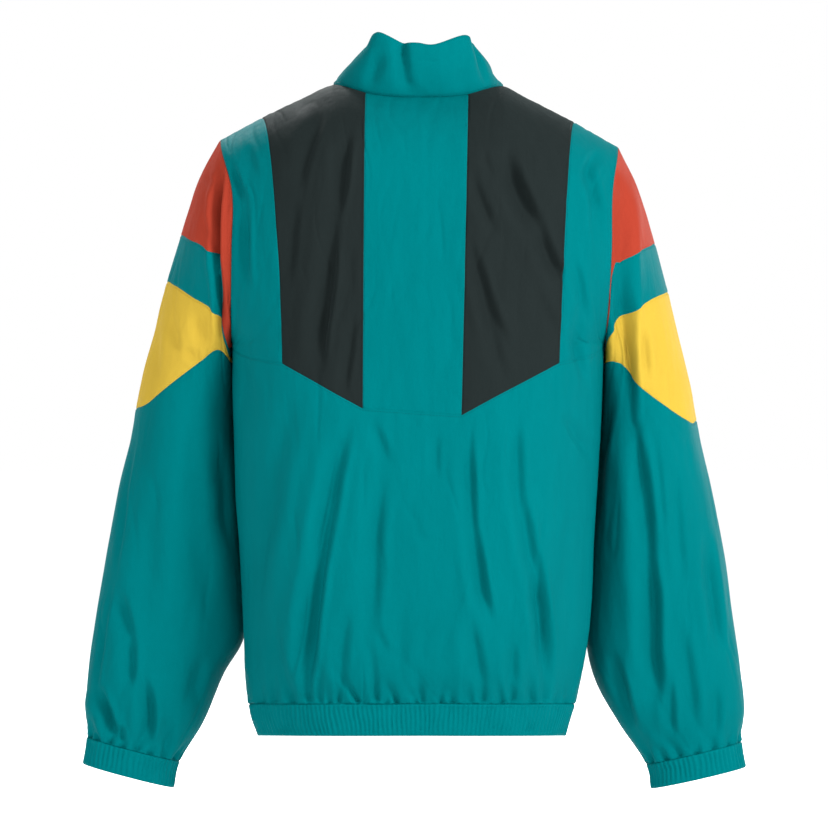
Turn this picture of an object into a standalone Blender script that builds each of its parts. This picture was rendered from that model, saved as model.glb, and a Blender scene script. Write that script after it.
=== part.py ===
"""A windbreaker, filled out and hollow, modelled piece by piece as it is cut and sewn.

Metres, +Z up, back towards +Y, the wearer's left towards +X. The origin is the middle of the neck opening,
level with the neck seam at the centre back. Every cloth piece is a thin wall on one of four surfaces: the
torso, a sleeve, the collar or a band. A piece is a grid of rows and columns on its surface. Pieces that
meet at a seam take the same points there, and each then draws back by half the seam gap.
"""
from types import SimpleNamespace

import bmesh
import bpy
import numpy as np
from mathutils import Matrix

# ---------------------------------------------------------------- sizes

WALL = 0.0015              # cloth wall
BAND_WALL = 0.0022         # elastic hem and cuffs, under the ribs
RIB = 0.0009               # height of a rib
SEAM_GAP = 0.00034         # between two pieces at a seam
SQUARENESS = 2.4           # 2 is an ellipse, more is boxier: torso sections
SLEEVE_SQUARENESS = 2.15

ARMPIT = -0.256            # height of the underarm point
HEM_SEAM = -0.634
HEM_END = -0.667
HEM_ARCH = 0.006           # rise of the hem at the centre back and front
SCYE_RISE = 0.085          # height over which the armhole opens to its full depth
SCYE_DEPTH = {1: 0.072, -1: 0.066}    # half-depth of the armhole: back, front

NECK_HALF = 0.0895         # half-width of the neck opening
NECK_DROP = {1: 0.017, -1: 0.081}     # fall of the neck seam from its side point: back, front
ZIP_HALF = 0.0048          # centre front to the fronts' edges
CHAIN_HALF = 0.0030
COLLAR_BULGE = 0.004
NECK_LEAN = 0.45           # how far the walls' edges tip back at the neck seam, as a slope
ARMHOLE_CLEAR = 0.00045    # the sleeve starts this far outside the torso's edge
ARMHOLE_LEAN = 0.7         # the same slope at the shoulder tip, none at the underarm
BLEND_RINGS = 1.6          # rings over which the sleeve leaves the armhole's own shape
NECK_POWER = 2.6           # 2 is a round neckline, more is flatter in the middle
FOLD_EDGE, FOLD_EDGE_FADE = 0.72, 0.25    # torso folds fade out from here to the side, as shares of the way round
FOLD_START, FOLD_END = 0.22, 0.16         # shares of a fold's length over which it grows and dies away
RIDGE_SHARE, RIDGE_PLACE, RIDGE_WIDTH = 0.32, 2.0, 0.8    # low ridges beside a fold, in its own widths

BACK, FRONT = 1, -1
LEFT, RIGHT = 1, -1


def table(columns, *rows):
    """A short table: each named column becomes an array."""
    return SimpleNamespace(**dict(zip(columns.split(), np.array(rows, float).T)))


# Torso sections from hem to shoulder: half-widths to the wearer's left and right, depths of back and front.
TORSO = table(
    "height  left    right   back   front",
    (-0.667, 0.1690, 0.1550, 0.108, 0.102),
    (-0.650, 0.1755, 0.1600, 0.111, 0.105),
    (-0.634, 0.1785, 0.1645, 0.114, 0.109),
    (-0.610, 0.1815, 0.1700, 0.123, 0.117),
    (-0.562, 0.1835, 0.1785, 0.130, 0.124),
    (-0.450, 0.1890, 0.1850, 0.133, 0.130),
    (-0.340, 0.1940, 0.1915, 0.132, 0.135),
    (-0.256, 0.1955, 0.1950, 0.130, 0.138),
    (-0.160, 0.1940, 0.2005, 0.126, 0.136),
    (-0.096, 0.1940, 0.2020, 0.122, 0.132),
    (-0.047, 0.2069, 0.2095, 0.119, 0.128),
    (0.000,  0.2069, 0.2095, 0.118, 0.125),
)

# The ridge where back and front meet: its height across, and the radius of the roll up to it on each side.
RIDGE = table(
    "across   height   back_roll front_roll",
    (-0.2095, -0.0500, 0.085, 0.150),
    (-0.1620, -0.0230, 0.098, 0.170),
    (-0.1160, 0.0005,  0.100, 0.200),
    (-0.0895, 0.0142,  0.100, 0.220),
    (-0.0450, 0.0160,  0.100, 0.245),
    (0.0450,  0.0165,  0.100, 0.245),
    (0.0895,  0.0160,  0.100, 0.220),
    (0.1240,  0.0005,  0.100, 0.195),
    (0.1600,  -0.0168, 0.098, 0.170),
    (0.2069,  -0.0420, 0.085, 0.150),
)
TIP = {LEFT: 0.2069, RIGHT: -0.2095}

# Seams that run down the torso: distance from the centre at the yoke seam, half-way and at the top, and the
# height of the yoke seam where each meets it. The neck line is no seam: it only ends columns at the neck.
LINES = {
    "inner left": dict(foot=0.0575, middle=0.0565, top=0.0552, yoke=-0.3240),
    "neck left": dict(foot=0.0850, middle=0.0870, top=0.0895, yoke=-0.3092),
    "outer left": dict(foot=0.1412, middle=0.1480, top=0.1655, yoke=-0.2775),
    "inner right": dict(foot=-0.0442, middle=-0.0482, top=-0.0518, yoke=-0.3310),
    "neck right": dict(foot=-0.0800, middle=-0.0850, top=-0.0895, yoke=-0.3115),
    "outer right": dict(foot=-0.1460, middle=-0.1525, top=-0.1640, yoke=-0.2770),
    "zip left": dict(foot=ZIP_HALF, middle=ZIP_HALF, top=ZIP_HALF, yoke=ARMPIT),
    "zip right": dict(foot=-ZIP_HALF, middle=-ZIP_HALF, top=-ZIP_HALF, yoke=ARMPIT),
}

# Sleeve sections from the armhole to the cuff's end: the outermost and innermost point of each ring, seen
# from behind, the ring's half-depth, and how far forward it hangs. The cuff seam is the last row but one.
SLEEVES = {
    LEFT: table(
        "out_x   out_z    in_x    in_z     depth  forward",
        (0.2069, -0.0420, 0.1960, -0.2565, 0.070, 0.000),
        (0.2275, -0.0750, 0.1967, -0.2680, 0.078, 0.010),
        (0.2419, -0.1150, 0.1959, -0.2820, 0.080, 0.022),
        (0.2548, -0.1550, 0.1948, -0.2980, 0.080, 0.033),
        (0.2682, -0.2000, 0.1938, -0.3160, 0.079, 0.040),
        (0.2819, -0.2500, 0.1930, -0.3400, 0.078, 0.045),
        (0.2942, -0.3000, 0.1908, -0.3740, 0.076, 0.047),
        (0.3053, -0.3600, 0.1884, -0.4200, 0.072, 0.048),
        (0.3192, -0.4200, 0.1860, -0.4680, 0.066, 0.048),
        (0.3301, -0.4800, 0.1838, -0.5180, 0.060, 0.048),
        (0.3404, -0.5400, 0.1845, -0.5660, 0.053, 0.046),
        (0.3478, -0.5900, 0.2060, -0.6050, 0.048, 0.044),
        (0.3518, -0.6350, 0.2265, -0.6540, 0.043, 0.042),
        (0.3507, -0.6700, 0.2515, -0.6960, 0.036, 0.040),
        (0.3549, -0.6980, 0.2578, -0.7235, 0.033, 0.040),
    ),
    RIGHT: table(
        "out_x   out_z    in_x    in_z     depth  forward",
        (0.2095, -0.0500, 0.1955, -0.2565, 0.070, 0.000),
        (0.2253, -0.0800, 0.1959, -0.2680, 0.078, 0.010),
        (0.2395, -0.1180, 0.1946, -0.2820, 0.080, 0.022),
        (0.2511, -0.1570, 0.1935, -0.2980, 0.080, 0.033),
        (0.2633, -0.2000, 0.1921, -0.3160, 0.079, 0.040),
        (0.2754, -0.2500, 0.1905, -0.3410, 0.078, 0.045),
        (0.2878, -0.3000, 0.1888, -0.3760, 0.076, 0.047),
        (0.3002, -0.3600, 0.1855, -0.4220, 0.072, 0.048),
        (0.3127, -0.4200, 0.1825, -0.4700, 0.066, 0.048),
        (0.3237, -0.4800, 0.1795, -0.5200, 0.060, 0.048),
        (0.3316, -0.5400, 0.1775, -0.5700, 0.053, 0.046),
        (0.3391, -0.5900, 0.1875, -0.6130, 0.048, 0.044),
        (0.3448, -0.6400, 0.2115, -0.6560, 0.043, 0.042),
        (0.3421, -0.6750, 0.2399, -0.6993, 0.036, 0.040),
        (0.3463, -0.7014, 0.2452, -0.7245, 0.033, 0.040),
    ),
}
CUFF_RING = 13
CUFF_END_RING = 14

# Where each colour of the sleeve ends, in rings from the armhole, by the angle round from the outer edge.
BANDS = {
    LEFT: table(
        "angle red  band  yellow",
        (0,    2.75, 3.83, 6.45),
        (45,   2.28, 3.55, 6.10),
        (75,   1.48, 3.06, 5.20),
        (100,  1.04, 2.32, 4.16),
        (121,  1.34, 1.66, 2.95),
        (142,  1.42, 1.78, 2.20),
        (180,  0.60, 1.00, 1.50),
    ),
    RIGHT: table(
        "angle red  band  yellow",
        (0,    2.86, 4.05, 6.62),
        (35,   2.62, 3.88, 6.55),
        (75,   1.68, 3.28, 5.72),
        (100,  0.96, 2.72, 4.78),
        (121,  0.66, 1.85, 3.70),
        (142,  0.62, 1.20, 2.50),
        (180,  0.60, 1.00, 1.55),
    ),
}

# The collar's top edge by the angle round from the centre back, on each side.
COLLAR_TOP = {
    LEFT: table(
        "angle across depth   height",
        (0,    0.0000, 0.0740, 0.0550),
        (18,   0.0190, 0.0720, 0.0567),
        (36,   0.0420, 0.0620, 0.0668),
        (60,   0.0530, 0.0400, 0.0560),
        (90,   0.0625, 0.0040, 0.0430),
        (135,  0.0460, -0.0560, 0.0120),
        (180,  0.0000, -0.0850, -0.0060),
    ),
    RIGHT: table(
        "angle across depth   height",
        (0,    0.0000, 0.0740, 0.0550),
        (18,   0.0170, 0.0720, 0.0535),
        (36,   0.0475, 0.0610, 0.0638),
        (60,   0.0590, 0.0400, 0.0540),
        (90,   0.0655, 0.0040, 0.0400),
        (135,  0.0470, -0.0560, 0.0115),
        (180,  0.0000, -0.0850, -0.0060),
    ),
}

# Creases in the collar: place round it at its top in degrees from the centre back, how far the crease drifts
# down to the seam, its middle and half-length as shares of the height, depth, and half-width in degrees.
COLLAR_FOLDS = table(
    "angle drift level reach depth  width",
    (15,   -9,   0.75, 0.55, 0.0035, 4.5),
    (30,   2,    0.45, 0.30, 0.0030, 7.0),
    (75,   4,    0.50, 0.45, 0.0030, 8.0),
    (140,  -4,   0.45, 0.50, 0.0030, 8.0),
    (-52,  -4,   0.55, 0.45, 0.0032, 6.0),
    (-84,  0,    0.38, 0.26, 0.0050, 17.0),
    (-125, 4,    0.50, 0.50, 0.0030, 8.0),
)

# Folds are soft troughs down the cloth, seen from behind: top and bottom ends, how far the middle bows to
# the side, and the depth and half-width of the trough.
FOLD_COLUMNS = "top_x   top_z   low_x   low_z   bow     depth  width"
FOLDS = {
    "torso back": table(
        FOLD_COLUMNS,
        (0.0770, -0.015, 0.1080, -0.300, 0.006, 0.0075, 0.013),
        (0.1180, -0.020, 0.1330, -0.170, 0.004, 0.0050, 0.010),
        (0.0640, -0.200, 0.0740, -0.320, 0.003, 0.0040, 0.009),
        (-0.0920, -0.040, -0.1450, -0.205, 0.010, 0.0080, 0.014),
        (-0.0540, -0.150, -0.0920, -0.320, 0.004, 0.0050, 0.011),
        (0.1780, -0.070, 0.1760, -0.160, 0.003, 0.0040, 0.010),
        (-0.1700, -0.120, -0.1850, -0.300, 0.004, 0.0050, 0.010),
        (0.1160, -0.300, 0.1600, -0.520, 0.004, 0.0060, 0.015),
        (0.0730, -0.360, 0.1130, -0.610, 0.012, 0.0100, 0.016),
        (0.0400, -0.370, 0.0500, -0.620, 0.000, 0.0055, 0.014),
        (-0.0550, -0.370, -0.0760, -0.560, 0.008, 0.0070, 0.015),
        (-0.1040, -0.335, -0.1360, -0.615, 0.008, 0.0085, 0.016),
    ),
    "torso front": table(
        FOLD_COLUMNS,
        (0.0880, -0.060, 0.1200, -0.300, 0.006, 0.0065, 0.014),
        (0.0450, -0.090, 0.0520, -0.250, 0.003, 0.0040, 0.011),
        (0.1400, -0.240, 0.1120, -0.470, 0.006, 0.0070, 0.015),
        (0.0620, -0.330, 0.0800, -0.610, 0.008, 0.0080, 0.014),
        (0.0280, -0.400, 0.0330, -0.615, 0.002, 0.0050, 0.011),
        (0.1180, -0.430, 0.1300, -0.610, 0.006, 0.0065, 0.012),
        (-0.0820, -0.050, -0.1260, -0.280, 0.008, 0.0070, 0.014),
        (-0.0420, -0.110, -0.0600, -0.270, 0.003, 0.0040, 0.010),
        (-0.1450, -0.230, -0.1080, -0.440, 0.005, 0.0070, 0.015),
        (-0.0500, -0.350, -0.0700, -0.610, 0.010, 0.0085, 0.013),
        (-0.0260, -0.430, -0.0300, -0.610, 0.002, 0.0045, 0.010),
        (-0.1120, -0.400, -0.1240, -0.610, 0.006, 0.0070, 0.013),
    ),
    "sleeve left back": table(
        FOLD_COLUMNS,
        (0.2075, -0.100, 0.2065, -0.245, 0.001, 0.0090, 0.007),
        (0.3000, -0.590, 0.3120, -0.668, 0.003, 0.0070, 0.010),
        (0.3280, -0.615, 0.3300, -0.668, 0.004, 0.0060, 0.009),
        (0.2830, -0.610, 0.2880, -0.672, 0.001, 0.0060, 0.009),
        (0.2330, -0.330, 0.2250, -0.560, 0.003, 0.0045, 0.016),
        (0.2800, -0.400, 0.3050, -0.600, 0.005, 0.0040, 0.014),
    ),
    "sleeve left front": table(
        FOLD_COLUMNS,
        (0.2080, -0.110, 0.2060, -0.250, 0.001, 0.0080, 0.008),
        (0.2400, -0.300, 0.2550, -0.560, 0.006, 0.0080, 0.015),
        (0.2900, -0.400, 0.3050, -0.640, 0.004, 0.0060, 0.013),
        (0.2650, -0.590, 0.2850, -0.670, 0.002, 0.0060, 0.010),
    ),
    "sleeve right back": table(
        FOLD_COLUMNS,
        (-0.2085, -0.090, -0.2055, -0.245, 0.001, 0.0080, 0.007),
        (-0.2200, -0.325, -0.2480, -0.640, 0.004, 0.0110, 0.015),
        (-0.2000, -0.320, -0.1900, -0.470, 0.004, 0.0050, 0.010),
        (-0.3100, -0.450, -0.3230, -0.590, 0.003, 0.0055, 0.011),
        (-0.2040, -0.590, -0.2270, -0.665, 0.002, 0.0060, 0.010),
        (-0.2740, -0.540, -0.2900, -0.665, 0.003, 0.0050, 0.011),
    ),
    "sleeve right front": table(
        FOLD_COLUMNS,
        (-0.2080, -0.110, -0.2060, -0.250, 0.001, 0.0080, 0.008),
        (-0.2350, -0.320, -0.2600, -0.600, 0.006, 0.0080, 0.015),
        (-0.2850, -0.380, -0.3050, -0.620, 0.004, 0.0060, 0.013),
        (-0.2450, -0.590, -0.2650, -0.665, 0.002, 0.0060, 0.010),
    ),
}

# Gathers where cloth meets an elastic band: place along the seam, depth, half-width and how far up they reach.
HEM_GATHERS = {
    BACK: table(
        "across depth  width reach",
        (0.1620, 0.0045, 0.006, 0.014),
        (0.1450, 0.0050, 0.005, 0.012),
        (0.1180, 0.0055, 0.006, 0.016),
        (0.1050, 0.0050, 0.005, 0.014),
        (0.0730, 0.0055, 0.006, 0.015),
        (0.0450, 0.0060, 0.006, 0.016),
        (0.0230, 0.0055, 0.006, 0.013),
        (-0.0040, 0.0060, 0.006, 0.013),
        (-0.0340, 0.0045, 0.005, 0.010),
        (-0.0630, 0.0055, 0.006, 0.014),
        (-0.0860, 0.0050, 0.005, 0.012),
        (-0.1020, 0.0050, 0.005, 0.014),
        (-0.1180, 0.0055, 0.006, 0.016),
        (-0.1400, 0.0045, 0.006, 0.012),
    ),
    FRONT: table(
        "across depth  width reach",
        (0.1560, 0.0050, 0.006, 0.013),
        (0.1350, 0.0050, 0.006, 0.015),
        (0.1120, 0.0055, 0.006, 0.014),
        (0.0880, 0.0050, 0.006, 0.016),
        (0.0640, 0.0055, 0.006, 0.013),
        (0.0400, 0.0050, 0.006, 0.015),
        (0.0220, 0.0045, 0.005, 0.012),
        (-0.0200, 0.0045, 0.005, 0.013),
        (-0.0380, 0.0050, 0.006, 0.015),
        (-0.0610, 0.0055, 0.006, 0.013),
        (-0.0830, 0.0050, 0.006, 0.015),
        (-0.1060, 0.0055, 0.006, 0.014),
        (-0.1280, 0.0050, 0.006, 0.013),
        (-0.1440, 0.0045, 0.005, 0.012),
    ),
}
CUFF_GATHERS = table(
    "angle depth  width reach",
    (-155, 0.0040, 9, 0.35),
    (-118, 0.0045, 9, 0.45),
    (-85,  0.0045, 8, 0.35),
    (-52,  0.0040, 8, 0.40),
    (-20,  0.0035, 8, 0.30),
    (18,   0.0035, 8, 0.35),
    (46,   0.0045, 8, 0.40),
    (72,   0.0045, 8, 0.35),
    (100,  0.0050, 8, 0.45),
    (128,  0.0045, 8, 0.35),
    (158,  0.0040, 9, 0.40),
)

# Columns between neighbouring lines and rows along each stretch. Near a band the columns double.
COLUMNS = {"side": 5, "shoulder": 5, "neck": 3, "centre": 6, "front neck": 5}
YOKE_ROWS = 12
LOWER_ROWS = (0.0, 0.03, 0.075, 0.14, 0.25, 0.38, 0.52, 0.66, 0.82, 1.0)
FINE_ROWS = 3
SLEEVE_ROWS = {"red": 5, "band": 3, "yellow": 4}
SLEEVE_LOWER_ROWS = (0.0, 0.12, 0.26, 0.40, 0.54, 0.68, 0.82, 0.92, 0.96, 1.0)
HEM_RIBS = 104
CUFF_RIBS = 32
COLLAR_ROWS = 4

# Zip: tape and chain lie behind the fronts' edges; depths are measured inwards from the cloth's face.
TAPE = dict(inner=0.00335, outer=0.0125, face=0.0026, back=0.0036)
CHAIN_FACE, CHAIN_BACK = 0.0018, 0.0044
ROW_CLEAR = 0.0020         # no row of the tapes or chain lies closer than this to their top end
SLIDER_HALF = 0.0041
SLIDER_HEIGHT = 0.0100
SLIDER_CAP = 0.0030        # solid top of the slider, above the chain's end
SLIDER_PLATE = 0.0012
SLIDER_DROP = 0.0040       # slider's top below the collar's edge at the front
ARCH_HALF = 0.0010
ARCH_FOOT = 0.0010         # thickness of the arch that holds the tab
ARCH_OPEN_H = 0.0034       # opening under the arch, along the zip
ARCH_OPEN_D = 0.0024       # and outwards
TAB_BAR = 0.0012           # square bar that turns under the arch
TAB_WINDOW = dict(half=0.0017, far=0.0041)
TAB_HALF = 0.0032
TAB_TIP_HALF = 0.0024
TAB_LENGTH = 0.0280
TAB_SHOULDER = 0.0015      # below the window, where the tab starts to narrow
TAB_ROUND = 0.0020         # height of the tab's rounded end

COLOURS = {
    "teal": (0.0, 0.225, 0.213),
    "charcoal": (0.024, 0.033, 0.033),
    "red": (0.51, 0.055, 0.028),
    "yellow": (0.87, 0.64, 0.06),
    "zip": (0.0, 0.15, 0.145),
    "metal": (0.55, 0.56, 0.56),
}


# ---------------------------------------------------------------- small tools

def lerp(start, end, share):
    return start + (end - start) * share


def curve(places, values, place):
    """A smooth curve through a table's points, level beyond its ends."""
    slopes = np.gradient(values, places)
    place = np.clip(place, places[0], places[-1])
    cell = np.clip(np.searchsorted(places, place) - 1, 0, len(places) - 2)
    width = places[cell + 1] - places[cell]
    t = (place - places[cell]) / width
    return ((1 + 2 * t) * (1 - t) ** 2 * values[cell] + t * (1 - t) ** 2 * width * slopes[cell]
            + t * t * (3 - 2 * t) * values[cell + 1] - t * t * (1 - t) * width * slopes[cell + 1])


def smoothstep(share):
    share = np.clip(share, 0.0, 1.0)
    return share * share * (3 - 2 * share)


def points(x, y, z):
    return np.stack(np.broadcast_arrays(x, y, z), axis=-1).astype(float)


def unit(vectors):
    return vectors / np.maximum(np.linalg.norm(vectors, axis=-1, keepdims=True), 1e-12)


# ---------------------------------------------------------------- torso surface

def roll_radius(across, face):
    return curve(RIDGE.across, RIDGE.back_roll if face == BACK else RIDGE.front_roll, across)


def rolled(length, top, radius):
    """Height and remaining depth share of a point, length along cloth that rolls over to a ridge."""
    turn = np.clip((length - (top - radius)) / radius, 0.0, np.pi / 2)
    height = np.where(length < top - radius, length, top - radius + radius * np.sin(turn))
    return height, np.cos(turn)


def section(length, face, hand):
    """Half-width, depth and angular reach of one quarter of a torso section."""
    tip = TIP[hand]
    height, _ = rolled(length, curve(RIDGE.across, RIDGE.height, tip), roll_radius(tip, face))
    edge = curve(TORSO.height, TORSO.left if hand == LEFT else TORSO.right, height)
    depth = curve(TORSO.height, TORSO.back if face == BACK else TORSO.front, height)
    rise = np.clip((length - ARMPIT) / SCYE_RISE, 0.0, 1.0)
    scye = SCYE_DEPTH[face] * np.sqrt(np.maximum(1 - (1 - rise) ** 2, 0.0))
    cosine = scye / depth
    sine = (1 - cosine ** SQUARENESS) ** (1 / SQUARENESS)
    return edge / sine, depth, np.arctan2(sine, cosine)


def torso(around, length, face):
    """Torso point: around runs from -1, the right edge, by the centre to 1, the left edge."""
    around, length = np.broadcast_arrays(np.asarray(around, float), np.asarray(length, float))
    quarters = []
    for hand in (LEFT, RIGHT):
        half_width, depth, reach = section(length, face, hand)
        angle = np.abs(around) * reach
        radius = (np.sin(angle) ** SQUARENESS + np.abs(np.cos(angle)) ** SQUARENESS) ** (-1 / SQUARENESS)
        quarters.append((hand * half_width * radius * np.sin(angle), depth * radius * np.cos(angle)))
    across = np.where(around >= 0, quarters[0][0], quarters[1][0])
    depth = np.where(around >= 0, quarters[0][1], quarters[1][1])
    height, share = rolled(length, curve(RIDGE.across, RIDGE.height, across), roll_radius(across, face))
    arch = HEM_ARCH * (1 - around ** 2) * smoothstep((-0.5 - length) / 0.13)
    return points(across, face * depth * share, height + arch)


def around_at(across, length, face):
    """The torso's around value at a distance from the centre plane."""
    across, length = np.broadcast_arrays(np.asarray(across, float), np.asarray(length, float))
    values = []
    for hand in (LEFT, RIGHT):
        half_width, _, reach = section(length, face, hand)
        sine = np.clip(np.abs(across) / half_width, 0.0, 1.0)
        values.append(np.arctan2(sine, (1 - sine ** SQUARENESS) ** (1 / SQUARENESS)) / reach)
    return np.where(across >= 0, values[0], -values[1])


def top_length(across, face):
    """Length up the cloth at which a column reaches the neck seam or the shoulder ridge."""
    radius = roll_radius(across, face)
    start = curve(RIDGE.across, RIDGE.height, across) - radius
    share = np.clip(np.abs(across) / NECK_HALF, 0.0, 1.0)
    drop = NECK_DROP[face] * (1 - share ** NECK_POWER)
    return start + radius * np.arcsin(np.clip(1 - drop / radius, -1.0, 1.0))


def surface_normal(surface, u, v, du=1e-3, dv=1e-4, outward=None):
    """Unit normal of a surface by differences, turned to the side that outward gives."""
    along_u = surface(u + du, v) - surface(u - du, v)
    along_v = surface(u, v + dv) - surface(u, v - dv)
    normal = unit(np.cross(along_u, along_v))
    flip = np.sign(np.sum(normal * outward, axis=-1, keepdims=True))
    return normal * np.where(flip == 0, 1, flip)


def torso_normal(around, length, face):
    around, length = np.broadcast_arrays(np.asarray(around, float), np.asarray(length, float))
    step = 2e-3
    u = np.clip(around, -1 + step, 1 - step)
    place = torso(around, length, face)
    outward = place - points(0.0, 0.0, place[..., 2] - 0.05)
    v = np.minimum(length, top_length(place[..., 0], face) - 1e-3)
    return surface_normal(lambda a, b: torso(a, b, face), u, v, step / 2, 5e-4, outward)


# ---------------------------------------------------------------- sleeve surface

def armhole(angle, hand):
    """The armhole's edge by the angle from the shoulder tip; positive angles are on the back."""
    angle = np.asarray(angle, float)
    sides = []
    for face in (BACK, FRONT):
        top = top_length(np.array(TIP[hand]), face)
        length = lerp(ARMPIT, top, (1 + np.cos(angle)) / 2)
        sides.append(torso(np.full_like(angle, hand), length, face))
    return np.where((angle >= 0)[..., None], sides[0], sides[1])


def armhole_normal(angle, hand):
    """The direction that both walls are offset along at the armhole seam."""
    lean = ARMHOLE_LEAN * (1 + np.cos(angle)) / 2 * hand
    return unit(points(lean, np.sin(angle), np.cos(angle)))


def sleeve(angle, ring, hand):
    """Sleeve point: angle from the outer edge (positive on the back), ring from the armhole down."""
    angle, ring = np.broadcast_arrays(np.asarray(angle, float), np.asarray(ring, float))
    rows = SLEEVES[hand]
    count = np.arange(len(rows.depth), dtype=float)
    out_x, out_z, in_x, in_z, depth, forward = (curve(count, values, ring) for values in (
        rows.out_x, rows.out_z, rows.in_x, rows.in_z, rows.depth, rows.forward))
    power = SLEEVE_SQUARENESS
    radius = (np.abs(np.sin(angle)) ** power + np.abs(np.cos(angle)) ** power) ** (-1 / power)
    swing = radius * np.cos(angle)
    tube = points(hand * ((out_x + in_x) / 2 + swing * (out_x - in_x) / 2),
                  depth * radius * np.sin(angle) - forward,
                  (out_z + in_z) / 2 + swing * (out_z - in_z) / 2)
    share = smoothstep(ring / BLEND_RINGS)[..., None]
    start = armhole(angle, hand) + np.array([hand * ARMHOLE_CLEAR, 0.0, 0.0])
    return lerp(start, tube, share)


def sleeve_normal(angle, ring, hand):
    angle, ring = np.broadcast_arrays(np.asarray(angle, float), np.asarray(ring, float))
    rows = SLEEVES[hand]
    step = 0.02
    v = np.clip(ring, step, len(rows.depth) - 1 - step)
    place = sleeve(angle, ring, hand)
    middle = (sleeve(0 * angle, ring, hand) + sleeve(0 * angle + np.pi, ring, hand)) / 2
    normal = surface_normal(lambda a, b: sleeve(a, b, hand), angle, v, 0.01, step / 2, place - middle)
    share = smoothstep(ring / 0.5)[..., None]
    return unit(lerp(armhole_normal(angle, hand), normal, share))


# ---------------------------------------------------------------- collar surface

def collar_top(angle):
    """The collar's top edge by the angle round from the centre back; positive is the wearer's left."""
    sides = []
    for hand in (LEFT, RIGHT):
        rows = COLLAR_TOP[hand]
        turn = np.degrees(np.abs(angle))
        sides.append(points(hand * curve(rows.angle, rows.across, turn),
                            curve(rows.angle, rows.depth, turn), curve(rows.angle, rows.height, turn)))
    return np.where((np.asarray(angle) >= 0)[..., None], sides[0], sides[1])


def neck_angle(place):
    return np.arctan2(place[..., 0], place[..., 1] + 0.010)


def collar_out(place):
    return unit(points(place[..., 0], place[..., 1] * 1.1 + 0.004, 0 * place[..., 0]))


def collar_folds(angle, height):
    """How far the collar's creases sink a point, by its angle and its share of the collar's height."""
    rows = COLLAR_FOLDS
    total = 0.0
    for place, drift, level, reach, depth, width in zip(
            rows.angle, rows.drift, rows.level, rows.reach, rows.depth, rows.width):
        middle = place + drift * (1 - height)
        total = total + depth * np.exp(-((np.degrees(angle) - middle) / width) ** 2
                                       - ((height - level) / reach) ** 2)
    return total


# ---------------------------------------------------------------- folds

def trough(distance):
    """Profile of a fold: a trough with a low ridge on each side."""
    return (np.exp(-distance ** 2)
            - RIDGE_SHARE * np.exp(-((np.abs(distance) - RIDGE_PLACE) / RIDGE_WIDTH) ** 2))


def fold_depth(place, name):
    """How far the folds of a surface sink a point."""
    rows = FOLDS[name]
    total = np.zeros(place.shape[:-1])
    for top_x, top_z, low_x, low_z, bow, depth, width in zip(
            rows.top_x, rows.top_z, rows.low_x, rows.low_z, rows.bow, rows.depth, rows.width):
        share = (top_z - place[..., 2]) / (top_z - low_z)
        inside = np.clip(share, 0.0, 1.0)
        middle = lerp(top_x, low_x, share) + np.sign(top_x) * bow * 4 * inside * (1 - inside)
        fade = smoothstep(share / FOLD_START) * smoothstep((1 - share) / FOLD_END)
        total += depth * fade * trough((place[..., 0] - middle) / width)
    return total


def torso_sink(around, length, face):
    place = torso(around, length, face)
    edge = 1 - smoothstep((np.abs(around) - FOLD_EDGE) / FOLD_EDGE_FADE)
    sink = fold_depth(place, "torso back" if face == BACK else "torso front") * edge
    rows = HEM_GATHERS[face]
    above = np.maximum(length - HEM_SEAM, 0.0)
    for across, depth, width, reach in zip(rows.across, rows.depth, rows.width, rows.reach):
        rise = above / reach
        shape = np.exp(-((place[..., 0] - across) / (width * (1 + 0.5 * rise))) ** 2)
        sink = sink + depth * rise * np.exp(1 - rise) * shape
    return sink


def sleeve_sink(angle, ring, hand):
    place = sleeve(angle, ring, hand)
    side = "left" if hand == LEFT else "right"
    back = fold_depth(place, f"sleeve {side} back")
    front = fold_depth(place, f"sleeve {side} front")
    share = smoothstep(np.sin(angle) * 2 + 0.5)
    inner = smoothstep((np.cos(angle) + 1) / 0.5)
    start = smoothstep(ring / 0.4) * smoothstep((CUFF_RING - ring) / 0.35)
    sink = lerp(front, back, share) * start * inner
    rows = CUFF_GATHERS
    turn = np.degrees(angle)
    for middle, depth, width, reach in zip(rows.angle, rows.depth, rows.width, rows.reach):
        rise = np.maximum(CUFF_RING - ring, 0.0) / reach
        apart = (turn - middle * hand + 180) % 360 - 180
        sink = sink + depth * rise * np.exp(1 - rise) * np.exp(-(apart / width) ** 2) * inner
    return sink


# ---------------------------------------------------------------- walls

def draw_back(outer, closed):
    """Move a piece's edges in by half the seam gap. Rows may double their columns near a band."""
    moved = [row.copy() for row in outer]
    half = SEAM_GAP / 2

    def partner(row, other):
        step = (len(other) - (not closed)) / (len(row) - (not closed))
        index = np.arange(len(row)) * step
        low = np.floor(index).astype(int)
        high = np.minimum(low + (index > low), len(other) - 1)
        if closed:
            high = np.where(index > low, (low + 1) % len(other), low)
        return (other[low] + other[high]) / 2

    for edge, inside in ((0, 1), (-1, -2)):
        moved[edge] += half * unit(partner(outer[edge], outer[inside]) - outer[edge])
    if not closed:
        for row, source in zip(moved, outer):
            row[0] += half * unit(source[1] - source[0])
            row[-1] += half * unit(source[-2] - source[-1])
    return moved


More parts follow.
